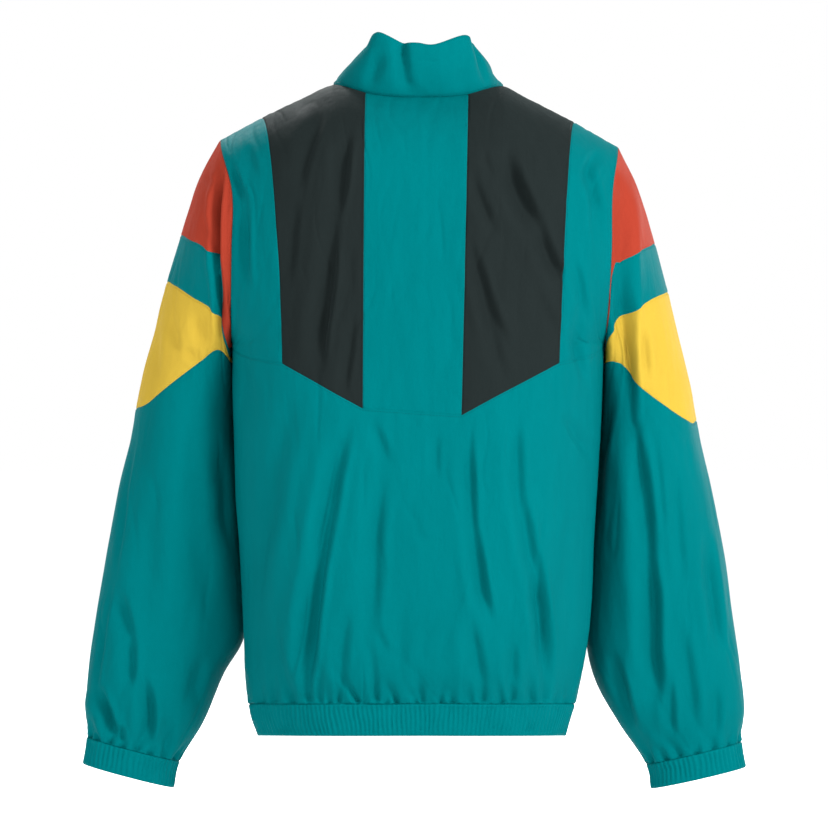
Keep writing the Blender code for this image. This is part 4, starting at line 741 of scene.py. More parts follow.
SIDE_FADE = 0.016          # folds die away this near a side seam or armhole,
TOP_FADE = 0.010           # this near the neck seam and the shoulder,
HEM_FADE = 0.015           # this near the hem seam,
ARMHOLE_FADE, CUFF_FADE = 0.4, 0.30   # this near the ends of a sleeve, in rings,
CRINKLE_FADE = 0.3         # crinkles too,
INNER_FADE, WRAP_FADE = 0.25, 0.12    # and this near the line under the arm
SLEEVE_RADIUS = 0.070      # turns angles into lengths for the crinkles

GROOVE, GROOVE_HALF = 0.0006, 0.0012  # a seam's depth and half-width
ELASTIC_GROOVE = 0.0018
PUCKER, PUCKER_REACH, PUCKER_LENGTH = 0.0006, 0.0090, 0.0060
PUCKER_START, PUCKER_ROW = 0.003, 0.012
ARMPIT_FLAT, ARMPIT_FULL = 0.37, 0.00015    # the side seam lies flat above this depth, a little fuller
FLAT_START, FLAT_SHARE, FLAT_HEIGHT = 0.93, 0.05, 0.03     # where that begins, and over what
SEEDS = {"hem ripple": 31, "torso": 40, "cuff ripple": 51, "sleeve": 60, "collar": 70, "ribs": 81,
         "hem band": 90, "cuff": 95, "torso seams": 100, "sleeve seams": 200}


def fold_depth(place, name):
    """How far the folds of a surface sink a point. Each wanders and changes depth a little on its way."""
    flat = place[..., [0, 2]]
    total = np.zeros(place.shape[:-1])
    for number, fold in enumerate(each_row(FOLDS[name])):
        run = np.array([fold.low_x - fold.top_x, fold.low_z - fold.top_z])
        length = np.linalg.norm(run)
        run = run / length
        apart = flat - np.array([fold.top_x, fold.top_z])
        share = apart @ run / length
        inside = np.clip(share, 0.0, 1.0)
        bow = fold.bow * 4 * inside * (1 - inside)
        wander = WANDER * noise(share * length / WANDER_LENGTH, 0 * share, number + len(name))
        aside = apart @ np.array([-run[1], run[0]]) - bow + wander
        aside = aside / (fold.width * (1 + STEEP * fold.lean * np.tanh(2 * aside / fold.width)))
        uneven = 1.0 + UNEVEN * noise(share * length / UNEVEN_LENGTH, 0 * share + UNEVEN_ROW, number)
        taper = smoothstep(share / FOLD_START) * smoothstep((1 - share) / FOLD_END) * uneven
        swell = SWELL * np.exp(-((np.abs(aside) - SWELL_PLACE) / SWELL_HALF) ** 2)
        total += fold.depth * taper * (np.exp(-aside ** 2) - swell)
    return total


def crinkle(u, v, seed):
    """Fine unevenness of thin nylon, longer up the cloth than across it."""
    def lumps(kind, shift_u=0.0, shift_v=0.0):
        width, length, number = CRINKLES[kind]
        return noise(u / width + shift_u, v / length + shift_v, seed + number)

    warp = CRINKLE_WARP * lumps("warp")
    crisp = np.exp(-(lumps("line", warp, -warp) / CRISP_HALF) ** 2) * smoothstep(0.5 + lumps("patch"))
    return SOFT_HEIGHT * lumps("soft", warp) + CRISP_HEIGHT * crisp + FINE_HEIGHT * lumps("fine", warp)


def gather(row, apart, above):
    """How far one gather sinks the cloth: it starts at an elastic seam and is deepest a little above it."""
    rise = above / row.reach
    side = (apart - row.lean * np.minimum(rise, 2)) / (row.width * (1 + GATHER_SPREAD * rise))
    return row.depth * smoothstep(rise / GATHER_START) * np.exp(-0.5 * rise ** GATHER_FALL - side ** 2)


def ripple(above, u, v, seed, height, reach, start, width):
    """Small waves that die away above an elastic seam."""
    wave = noise(u / width, v / RIPPLE_LENGTH, seed)
    return height * np.exp(-above / reach) * smoothstep(above / start) * wave


def torso_sink(around, length, face, place):
    to_side = (1 - np.abs(around)) * SIDE_WIDTH
    to_top = top_length(place[..., 0], face) - length
    above = np.maximum(length - HEM_SEAM, 0.0)
    fade = smoothstep(to_side / SIDE_FADE) * smoothstep(to_top / TOP_FADE)
    sink = fold_depth(place, "torso back" if face == BACK else "torso front") * smoothstep(above / HEM_FADE)
    for row in each_row(HEM_GATHERS[face]):
        sink = sink + gather(row, place[..., 0] - row.across, above)
    u, v = around * SIDE_WIDTH, length
    sink = sink + ripple(above, u, v, SEEDS["hem ripple"] + face, **HEM_RIPPLE)
    return (sink + crinkle(u, v, SEEDS["torso"] + face)) * fade


def sleeve_sink(angle, ring, hand, place):
    side = "left" if hand == LEFT else "right"
    back, front = (fold_depth(place, f"sleeve {side} {half}") for half in ("back", "front"))
    inner = smoothstep((np.cos(angle) + 1) / INNER_FADE)
    wrap = smoothstep((np.pi - np.abs(angle)) / WRAP_FADE)
    above = np.maximum(CUFF_RING - ring, 0.0)
    fade = smoothstep(ring / ARMHOLE_FADE) * smoothstep((CUFF_RING - ring) / CUFF_FADE)
    sink = lerp(front, back, smoothstep(np.sin(angle) * 2 + 0.5)) * fade * inner
    for row in each_row(CUFF_GATHERS):
        apart = (np.degrees(angle) - row.angle * hand + 180) % 360 - 180
        sink = sink + gather(row, apart, above) * wrap
    u, v = angle * SLEEVE_RADIUS, place[..., 2]
    fine = crinkle(u, v, SEEDS["sleeve"] + hand) * smoothstep(ring / CRINKLE_FADE) * inner
    return sink + (ripple(above, u, v, SEEDS["cuff ripple"] + hand, **CUFF_RIPPLE) + fine) * wrap


def seam_sink(grid, seams, seed, groove=GROOVE):
    """Cloth lies lower at a seam and puckers beside it. Seams: low, high, first or last edge of the grid."""
    across, up = travel(grid, 1), travel(grid)
    total = np.zeros(grid.shape[:2])
    for number, seam in enumerate(seams):
        far, along = {"first": (across, up), "last": (across[:, -1:] - across, up),
                      "low": (up, across), "high": (up[-1:] - up, across)}[seam]
        near = np.exp(-far / PUCKER_REACH) * smoothstep(far / PUCKER_START)
        total += groove * np.exp(-(far / GROOVE_HALF) ** 2)
        total += PUCKER * near * noise(along / PUCKER_LENGTH, far / PUCKER_ROW, seed + number)
    return total


# ---------------------------------------------------------------- meshes

CLOTH_SHARP, SMALL_SHARP = 60, 50     # edges sharper than this many degrees are not shaded smooth


def place_object(name, data):
    """A new object in the scene."""
    obj = bpy.data.objects.new(name, data)
    bpy.context.scene.collection.objects.link(obj)
    return obj


def finish_mesh(name, vertices, faces, material, uv=None, sharp=CLOTH_SHARP):
    mesh = bpy.data.meshes.new(name)
    mesh.from_pydata(vertices.tolist(), [], faces.tolist())
    if uv is not None:
        mesh.uv_layers.new(name="cut").data.foreach_set("uv", uv.astype(np.float32).ravel())
    work = bmesh.new()
    work.from_mesh(mesh)
    bmesh.ops.recalc_face_normals(work, faces=work.faces)
    work.to_mesh(mesh)
    work.free()
    mesh.shade_smooth()
    mesh.set_sharp_from_angle(angle=np.radians(sharp))
    mesh.materials.append(material)
    return place_object(name, mesh)


def quads(low, high):
    """Four-sided faces between neighbouring lines of point numbers."""
    return np.stack([low[:-1], low[1:], high[1:], high[:-1]], axis=-1).reshape(-1, 4)


def wrap_round(grid, closed):
    """The grid, with its first column again at the end where it is a tube."""
    return np.concatenate([grid, grid[:, :1]], axis=1) if closed else grid


def shell(name, grid, normals, wall, material, closed=False, rounded=()):
    """A closed thin wall from a grid of outer points; the rims named in rounded are rolled."""
    rows, columns = grid.shape[:2]
    wide = columns + closed
    inner = grid - wall * normals
    wrapped = wrap_round(grid, closed)
    uv = np.stack([travel(wrapped, 1), travel(wrapped)], axis=-1).reshape(-1, 2)
    ids = np.arange(rows * wide).reshape(rows, wide)
    to_vertex = (np.arange(rows)[:, None] * columns + np.arange(wide) % columns).ravel()
    under = ids + rows * wide
    vertices = [grid.reshape(-1, 3), inner.reshape(-1, 3)]
    vertex_of = [to_vertex, to_vertex + rows * columns]
    uvs = [uv, uv]
    faces = [quads(a, b) for layer in (ids, under) for a, b in zip(layer[:-1], layer[1:])]
    for edge, beside in ((0, 1), (-1, -2)):
        if edge not in rounded:
            faces.append(quads(ids[edge], under[edge]))
            continue
        lip = (grid[edge] + inner[edge]) / 2 + wall / 2 * unit(grid[edge] - grid[beside])
        start = sum(len(v) for v in vertices)
        lip_ids = sum(len(v) for v in vertex_of) + np.arange(wide)
        vertices.append(lip)
        vertex_of.append(start + np.arange(wide) % columns)
        uvs.append(uv.reshape(rows, wide, 2)[edge])
        faces += [quads(ids[edge], lip_ids), quads(lip_ids, under[edge])]
    if not closed:
        faces += [quads(ids[:, end], under[:, end]) for end in (0, -1)]
    faces = np.concatenate(faces)
    uvs = np.concatenate(uvs)
    return finish_mesh(name, np.concatenate(vertices), np.concatenate(vertex_of)[faces], material, uvs[faces])


def sew(node, base, sink, normals, wall, slot, closed=False, rounded=()):
    """Make the cloth piece that stands for a CAD node, sunk below its plain surface by folds and seams."""
    grid = base - sink[..., None] * normals
    piece = shell(f"{node}_cloth", grid, normals, wall, MATERIALS[slot], closed, rounded)
    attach(piece, BODY)
    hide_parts(node)
    return grid, normals


def rod(rings, outline):
    """A small solid's points and the faces of its sides: an outline, scaled at each place along it."""
    sides = len(outline)
    vertices = np.array([(place, share * a, share * b) for place, share in rings for a, b in outline])
    around = np.arange(sides + 1) % sides
    faces = [tuple(face) for r in range(len(rings) - 1)
             for face in quads(r * sides + around, (r + 1) * sides + around)]
    return vertices, faces


def copies(name, solid, origins, axes, material):
    """Many copies of a small solid as one mesh, each with its own three axes."""
    vertices, faces = solid
    placed = origins[:, None, :] + np.einsum("vk,nkc->nvc", vertices, np.stack(axes, axis=1))
    numbers = np.arange(len(origins))[:, None, None] * len(vertices) + np.array(faces)[None]
    faces = numbers.reshape(-1, numbers.shape[-1])
    return finish_mesh(name, placed.reshape(-1, 3), faces, material, sharp=SMALL_SHARP)


# ---------------------------------------------------------------- stitches

STITCH_LENGTH, STITCH_GAP, STITCH_HALF = 0.0024, 0.0008, 0.00022
STITCH_INSET, ZIP_INSET, COLLAR_INSET = 0.0021, 0.0055, 0.0026    # from a seam, the zip and the neck seam
STITCH_LIFT = 0.3          # share of the thread's half-width that stands out of the cloth
STITCH_SIDES = 4
STITCH_RINGS = [(-0.5, 0.35), (-0.3, 1.0), (0.3, 1.0), (0.5, 0.35)]    # place along it, share of its width
THREADS = {}


def line_beside(grid, normals, edge, inset):
    """The line of surface points at a distance from one edge of a grid, with their normals."""
    if edge in ("low", "high"):
        grid, normals = grid.swapaxes(0, 1), normals.swapaxes(0, 1)
    if edge in ("last", "high"):
        grid, normals = grid[:, ::-1], normals[:, ::-1]
    far = travel(grid, 1)
    return [np.array([read_at(inset, far[i], values[i]) for i in range(len(values))])
            for values in (grid, normals)]


def stitch(colour, grid, normals, edges, inset=STITCH_INSET):
    """Lay a row of stitches along edges of a piece, kept until all pieces of one colour are joined."""
    for edge in edges:
        path, outs = line_beside(grid, normals, edge, inset)
        reach = travel(path)
        places = np.arange(STITCH_LENGTH, reach[-1] - STITCH_LENGTH, STITCH_LENGTH + STITCH_GAP)
        if not len(places):
            continue
        start, end = (read_at(places + half, reach, path) for half in (-STITCH_LENGTH / 2, STITCH_LENGTH / 2))
        out = unit(read_at(places, reach, outs))
        along = unit(end - start)
        out = unit(out - along * np.sum(out * along, axis=-1, keepdims=True))
        middle = (start + end) / 2 + STITCH_HALF * STITCH_LIFT * out
        THREADS.setdefault(colour, []).append((middle, along, out))


def make_threads():
    turns = 2 * np.pi * np.arange(STITCH_SIDES) / STITCH_SIDES
    outline = [(STITCH_HALF * np.sin(t), STITCH_HALF * np.cos(t)) for t in turns]
    solid = rod([(STITCH_LENGTH * place, share) for place, share in STITCH_RINGS], outline)
    for colour, rows in THREADS.items():
        origins, along, out = (np.concatenate([row[k] for row in rows]) for k in range(3))
        axes = (along, out, np.cross(along, out))
        thread = copies(f"stitches_{colour}", solid, origins, axes, MATERIALS[f"{colour}_thread"])
        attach(thread, BODY)


# ---------------------------------------------------------------- torso pieces

ALL_SEAMS = ("low", "high", "first", "last")


def line_place(name, share):
    """Distance from the centre along one of the torso's lines, from the yoke seam (0) to the top (1)."""
    line = LINES[name]
    return (line["foot"] * (1 - share) * (1 - 2 * share) + line["middle"] * 4 * share * (1 - share)
            + line["top"] * share * (2 * share - 1))


def line_foot(name, face):
    return LINES[name]["yoke"] if face == BACK else ARMPIT


def line_values(name, share, face):
    """Around value and length of a line; an edge line lies at around 1 or -1."""
    if name.startswith("edge"):
        hand = SIDES[name.split()[1]]
        return hand + 0 * share, lerp(ARMPIT, tip_length(hand, face), share)
    length = lerp(line_foot(name, face), top_length(line_place(name, np.array(1.0)), face), share)
    return around_at(line_place(name, share), length, face), length


def span_grid(names, share, face):
    """Around and length values across several lines, a row for each share of the way up."""
    found = []
    for number, (first, last) in enumerate(zip(names, names[1:])):
        at_end = number == len(names) - 2
        width = SPANS[" ".join(sorted((first.split()[0], last.split()[0])))]
        step = steps(width, COLUMN[face], start=number == 0, end=at_end)
        step = step if at_end else step[:-1]
        if "edge" in first + last:
            ends = zip(line_values(first, share, face), line_values(last, share, face))
            found.append([lerp(low, high, step) for low, high in ends])
            continue
        across = lerp(line_place(first, share), line_place(last, share), step)
        top = top_length(lerp(line_place(first, 1.0), line_place(last, 1.0), step), face)
        length = lerp(lerp(line_foot(first, face), line_foot(last, face), step), top, share)
        found.append([around_at(across, length, face), length])
    return [np.concatenate(parts, axis=1) for parts in zip(*found)]


def neck_normal(place):
    """The direction that both walls are offset along at the neck seam."""
    return unit(collar_out(place) + np.array([0.0, 0.0, NECK_LEAN]))


def seam_normals(around, length, face, base):
    """The torso's normals, turned at the neck, armholes and hem to the direction the neighbour shares."""
    def turned(normal, shared, far, where):
        near = (1 - smoothstep(far / SEAM_BLEND)) * where
        return unit(lerp(normal, shared, near[..., None]))

    to_top = top_length(base[..., 0], face) - length
    at_neck = np.abs(base[..., 0]) < NECK_HALF + 1e-4
    normal = turned(torso_normal(around, length, face), neck_normal(base), to_top, at_neck)
    for hand in SIDES.values():
        share = (length - ARMPIT) / (tip_length(hand, face) - ARMPIT)
        angle = np.arccos(np.clip(2 * share - 1, -1, 1)) * face
        to_armhole = (1 - hand * around) * SIDE_WIDTH
        normal = turned(normal, armhole_normal(angle, hand), to_armhole, length > ARMPIT - 1e-6)
    near = 1 - smoothstep((length - HEM_SEAM) / SEAM_BLEND)
    return unit(normal * points(1.0, 1.0, 1 - near))


def torso_piece(node, names, face, slot, seams=ALL_SEAMS, upper=True, lower=False):
    around, length = span_grid(names, steps(YOKE_HEIGHT, ROW, start=not lower)[:, None], face)
    if lower:
        share = close_start(steps(LOWER_HEIGHT, ROW, end=not upper))[:, None]
        low_around, low_length = around[:1] + 0 * share, lerp(HEM_SEAM, length[:1], share)
        around = np.concatenate([low_around[:-1], around]) if upper else low_around
        length = np.concatenate([low_length[:-1], length]) if upper else low_length
    base = torso(around, length, face)
    normals = seam_normals(around, length, face, base)
    by_armpit = smoothstep((np.abs(around) - FLAT_START) / FLAT_SHARE)
    by_armpit = by_armpit * smoothstep((base[..., 2] + ARMPIT_FLAT) / FLAT_HEIGHT)
    seamed = seam_sink(base, seams, SEEDS["torso seams"] + len(node)) * (1 - by_armpit)
    sink = torso_sink(around, length, face, base) + seamed - ARMPIT_FULL * by_armpit
    return sew(node, base, sink, normals, WALL, slot)


def lines_of(side):
    return [f"{line} {side}" for line in ("inner", "neck", "outer", "edge")]


def make_torso():
    torso_piece("back_center", ["inner right", "inner left"], BACK, "teal_nylon")
    for side in SIDES:
        lines = lines_of(side)
        black = torso_piece(f"back_black_{side}", lines[:3], BACK, "charcoal_nylon")
        stitch("charcoal", *black, ("first", "last"))
        strip = torso_piece(f"back_side_{side}", lines[2:], BACK, "teal_nylon")
        stitch("teal", *strip, ("last",))
        front = torso_piece(f"front_{side}", [f"zip {side}", *lines[1:]], FRONT, "teal_nylon",
                            ("low", "high", "last"), lower=True)
        stitch("teal", *front, ("first",), inset=ZIP_INSET)
    lines = lines_of("right")[::-1] + lines_of("left")
    stitch("teal", *torso_piece("back_lower", lines, BACK, "teal_nylon", upper=False, lower=True), ("high",))


# ---------------------------------------------------------------- collar

COLLAR_HEIGHT, COLLAR_BULGE, COLLAR_COLUMNS = 0.055, 0.004, 190
COLLAR_MIDDLE = -0.010     # depth of the point that angles round the collar are taken from
COLLAR_OVAL, COLLAR_SHIFT = 1.1, 0.004      # make the collar's outward direction from a place on its seam
NECK_POINTS = 60
CREASE_START = 0.25        # creases sink in over this share of the height from the seam
COLLAR_END, COLLAR_FADE = 170, 12     # and die away before this angle, over this many degrees
COLLAR_STRETCH = 0.9       # of the crinkles along the collar
WAVE_HEIGHT, WAVE_LENGTH, WAVES_UP = 0.0004, 0.02, 3


def neck_seam():
    """The neck seam from the left front edge by the back to the right front edge."""
    front = lerp(ZIP_HALF, NECK_HALF, np.sin(np.linspace(0, np.pi / 2, NECK_POINTS)))
    back = NECK_HALF * np.cos(np.linspace(0, np.pi, 2 * NECK_POINTS))[1:-1]
    found = []
    for across, face in ((front, FRONT), (back, BACK), (-front[::-1], FRONT)):
        length = top_length(across, face)
        found.append(torso(around_at(across, length, face), length, face))
    return np.concatenate(found)


def collar_top(angle):
    """The collar's top edge by the angle round from the centre back; positive is the wearer's left."""
    def edge(hand):
        rows = COLLAR_TOP[hand]
        turn = np.degrees(np.abs(angle))
        across, depth, height = (curve(rows.angle, values, turn)
                                 for values in (rows.across, rows.depth, rows.height))
        return points(hand * across, depth, height)

    return by_sign(angle, edge)


def collar_out(place):
    return unit(points(place[..., 0], place[..., 1] * COLLAR_OVAL + COLLAR_SHIFT, 0 * place[..., 0]))


def make_collar():
    seam = resample(neck_seam(), COLLAR_COLUMNS)
    angle = np.arctan2(seam[:, 0], seam[:, 1] - COLLAR_MIDDLE)
    out = collar_out(seam)
    share = steps(COLLAR_HEIGHT, COLLAR_ROW, end=False)[:, None]
    bulge = COLLAR_BULGE * 4 * share * (1 - share)
    base = lerp(seam, collar_top(angle), share[..., None]) + bulge[..., None] * out
    base[:, 0, 0], base[:, -1, 0] = ZIP_HALF, -ZIP_HALF
    normals = facing(unit(np.cross(np.gradient(base, axis=1), np.gradient(base, axis=0))), out)
    near = 1 - smoothstep(travel(base) / SEAM_BLEND)[..., None]
    normals = unit(lerp(normals, neck_normal(seam)[None], near))
    turn = np.degrees(angle)
    creases = 0.0
    for row in each_row(COLLAR_FOLDS):
        middle = row.angle + row.drift * (1 - share)
        shape = np.exp(-((turn - middle) / row.width) ** 2 - ((share - row.level) / row.reach) ** 2)
        creases = creases + row.depth * shape
    u = travel(seam)
    fine = crinkle(share * COLLAR_HEIGHT, u[None] * COLLAR_STRETCH, SEEDS["collar"])
    fine = fine + WAVE_HEIGHT * noise(u / WAVE_LENGTH, share * WAVES_UP, SEEDS["collar"] + 1)
    ends = smoothstep((COLLAR_END - np.abs(turn)) / COLLAR_FADE)
    sink = creases * smoothstep(share / CREASE_START) * ends + fine * ends
    sink = sink + seam_sink(base, ("low",), SEEDS["collar"] + 2)
    grid, normals = sew("collar", base, sink, normals, COLLAR_WALL, "teal_nylon", rounded=(-1,))
    stitch("teal", grid, normals, ("low",), inset=COLLAR_INSET)
    return grid


# ---------------------------------------------------------------- sleeves and bands

SLEEVE_COLUMNS, CUFF_COLUMNS, HEM_COLUMNS = 220, 320, 250
SLEEVE_PARTS = {"red": (0.105, "red_nylon"), "band": (0.050, "teal_nylon"),
                "yellow": (0.115, "yellow_nylon"), "lower": (0.400, "teal_nylon")}    # length and cloth
CLEAR_RING, CLEAR_FADE = 4.5, 2       # the sleeve hangs clear of the body below this ring
UNDERARM_RADIUS = 0.06
FULL_REACH = 0.7           # above it, the inner side is a little fuller this far round
CUFF_HEIGHT, CUFF_WRAP = 0.029, 0.10
RIB_PITCH, RIB_DEPTH, RIB_SHAPE = 0.0050, 0.0016, 0.8
RIB_EDGE, RIB_EDGE_SHARE = 0.004, 0.25      # this near an edge the ribs lose depth, down to this share
RIB_STRENGTH = 0.75
RIB_NOISE = ((0.30, 0.016, 0.020), (0.10, 0.004, 0.006), (0.35, 0.020, 0.015))   # size, width, length
SWAY_HEIGHT, SWAY_WIDTH, SWAY_LENGTH = 0.0006, 0.05, 0.03


def all_round(count, shift=0.0):
    """Angles round a tube from its innermost line."""
    return -np.pi + 2 * np.pi * (np.arange(count) + shift) / count


def make_sleeve(side, hand):
    turns = all_round(SLEEVE_COLUMNS, 0.5)
    start = 0 * turns
    for colour, (part_length, slot) in SLEEVE_PARTS.items():
        share = steps(part_length, ROW)
        if colour == "lower":
            end = 0 * turns + CUFF_RING
            share = 1 - close_start(1 - share[::-1])[::-1]
        else:
            end = band_end(colour, turns, hand)
        ring = lerp(start, end, share[:, None])
        start = end
        angle = turns + 0 * ring
        base = sleeve(angle, ring, hand)
        to_inner = np.pi - np.abs(angle)
        below = smoothstep((ring - CLEAR_RING) / CLEAR_FADE)
        groove = GROOVE * below * np.exp(-(to_inner * UNDERARM_RADIUS / (2 * GROOVE_HALF)) ** 2)
        full = smoothstep(1 - to_inner / FULL_REACH) * smoothstep(ring) * (1 - below)
        seamed = seam_sink(base, ("low", "high"), SEEDS["sleeve seams"] + len(colour))
        sink = sleeve_sink(angle, ring, hand, base) + seamed + groove - 2 * ARMPIT_FULL * full
        normals = sleeve_normal(angle, ring, hand)
        grid, normals = sew(f"sleeve_{colour}_{side}", base, sink, normals, WALL, slot, closed=True)
        if colour != "red":
            stitch(slot.split("_")[0], grid, normals, ("low",))


def ribs(u, v, height):
    """Uneven upright ribs of cloth gathered over elastic; v runs from 0 to height."""
    slow, quick, uneven = (size * noise(u / width, v / length, SEEDS["ribs"] + number)
                           for number, (size, width, length) in enumerate(RIB_NOISE))
    phase = u / RIB_PITCH + slow + quick
    edge = smoothstep(v / RIB_EDGE) * smoothstep((height - v) / RIB_EDGE)
    wave = (0.5 - 0.5 * np.cos(2 * np.pi * phase)) ** RIB_SHAPE
    return RIB_DEPTH * (RIB_STRENGTH + uneven) * lerp(RIB_EDGE_SHARE, 1.0, edge) * wave


def make_hem_band():
    height = HEM_SEAM - HEM_END
    length = lerp(HEM_END, HEM_SEAM, steps(height, BAND_ROW, start=False))[:, None]
    start, finish = (around_at(hand * ZIP_HALF, length, FRONT) for hand in (LEFT, RIGHT))
    quarter, half = (np.arange(count) / count for count in (HEM_COLUMNS, 2 * HEM_COLUMNS))
    stretches = ((lerp(start, 1.0, quarter), FRONT), (lerp(1.0, -1.0, half) + 0 * start, BACK),
                 (lerp(-1.0, finish, np.arange(HEM_COLUMNS + 1) / HEM_COLUMNS), FRONT))
    base, normals = (np.concatenate([make(around, length + 0 * around, face) for around, face in stretches],
                                    axis=1) for make in (torso, torso_normal))
    normals = unit(normals * np.array([1.0, 1.0, 0.0]))
    u, v = travel(base, 1)[-1:], (length - HEM_END) + 0 * base[..., 0]
    sink = ribs(u + 0 * v, v, height) + seam_sink(base, ("high",), SEEDS["hem band"], ELASTIC_GROOVE)
    sink = sink + SWAY_HEIGHT * noise(u / SWAY_WIDTH + 0 * v, v / SWAY_LENGTH, SEEDS["hem band"] + 1)
    sew("hem_band", base, sink, normals, BAND_WALL, "teal_elastic", rounded=(0,))


def make_cuff(side, hand):
    turns = all_round(CUFF_COLUMNS)
    ring = lerp(CUFF_RING, CUFF_END_RING, steps(CUFF_HEIGHT, BAND_ROW, end=False))[:, None]
    angle = turns + 0 * ring
    base = sleeve(angle, ring, hand)
    round_length = travel(base, 1)[0, -1] * (CUFF_COLUMNS + 1) / CUFF_COLUMNS
    fitted = round(round_length / RIB_PITCH) * RIB_PITCH / (2 * np.pi)
    u, v = (turns + np.pi) * fitted + 0 * ring, travel(base)
    wrap = smoothstep((np.pi - np.abs(angle)) / CUFF_WRAP)
    sink = lerp(RIB_DEPTH / 2, ribs(u, v, v[-1:]), wrap)
    sink = sink + seam_sink(base, ("low",), SEEDS["cuff"], ELASTIC_GROOVE)
    sew(f"cuff_{side}", base, sink, sleeve_normal(angle, ring, hand), BAND_WALL, "teal_elastic",
        closed=True, rounded=(-1,))


# ---------------------------------------------------------------- zip

CHAIN_DEPTH = 0.0030       # from the fronts' faces to the middle of the chain
BODY_POINTS, ZIP_POINTS = 300, 600
SOFT_EDGE = 0.00025
TOOTH_PITCH, TOOTH_HEIGHT, TOOTH_DEPTH = 0.0026, 0.0012, 0.0020
FIRST_TOOTH = {LEFT: 0.75, RIGHT: 1.25}     # in pitches from the hem's end
# A tooth from its head, past the centre front, to its foot: distance from the centre and share of its size.
TOOTH_PROFILE = [(-0.0008, 0.45), (-0.0003, 1.0), (0.0008, 1.0), (0.0013, 0.65), (0.0030, 0.65)]
TOOTH_OUTLINE = [(-1.0, -0.55), (-0.55, -1.0), (0.55, -1.0), (1.0, -0.55), (1.0, 0.55), (0.55, 1.0),
                 (-0.55, 1.0), (-1.0, 0.55)]


def zip_path(collar_grid):
    """The centre front from the hem to the collar's top, its direction, and the one out of the cloth."""
    sides = []
    for hand, column in ((LEFT, 0), (RIGHT, -1)):
        length = np.linspace(HEM_END, top_length(np.array(hand * ZIP_HALF), FRONT), BODY_POINTS)
        body = torso(around_at(hand * ZIP_HALF, length, FRONT), length, FRONT)
        sides.append(resample(np.concatenate([body, collar_grid[1:, column]]), ZIP_POINTS))
    path = (sides[0] + sides[1]) / 2 * np.array([0.0, 1.0, 1.0])
    along = unit(np.gradient(path, axis=0))
    return path, along, np.cross(np.array([1.0, 0.0, 0.0]), along)


def make_teeth(collar_grid):
    path, along, out = zip_path(collar_grid)
    reach = travel(path)
    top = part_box("zip_chain")[1].z
    stop = np.interp(top, path[:, 2], reach)
    outline = [(TOOTH_HEIGHT / 2 * a, TOOTH_DEPTH / 2 * b) for a, b in TOOTH_OUTLINE]
    vertices, faces = rod(TOOTH_PROFILE, outline)
    last = len(vertices) - len(outline)
    faces += [(end, end + i, end + i + 1, end + i + 2) for end in (last, 0) for i in (1, 3, 5)]
    origins, axes = [], []
    for hand, first in FIRST_TOOTH.items():
        places = np.arange(TOOTH_PITCH * first, stop - TOOTH_PITCH / 2, TOOTH_PITCH)
        at, run, face = (read_at(places, reach, values) for values in (path, along, out))
        origins.append(at - CHAIN_DEPTH * face)
        axes.append((np.tile([float(hand), 0.0, 0.0], (len(places), 1)), unit(run), unit(face)))
    axes = [np.concatenate(parts) for parts in zip(*axes)]
    teeth = copies("zip_teeth", (vertices, faces), np.concatenate(origins), axes, MATERIALS["zip_teeth"])
    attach(teeth, BODY)
    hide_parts("zip_chain")


def finished(node, material):
    """A solid that shows as it is, given its material."""
    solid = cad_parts[node]
    solid.data.materials.clear()
    solid.data.materials.append(material)
    return solid


def dress_zip():
    """The tapes, slider and pull keep their solids, with finished surfaces and softened edges."""
    for side in SIDES:
        tape = finished(f"zip_tape_{side}", MATERIALS["zip_tape"])
    for node in ("zip_slider", "zip_pull"):
        metal = finished(node, MATERIALS["zip_metal"])
        soften = metal.modifiers.new("soften", "BEVEL")
        soften.width = SOFT_EDGE
        soften.segments = 3
        soften.limit_method = "ANGLE"


# ---------------------------------------------------------------- materials

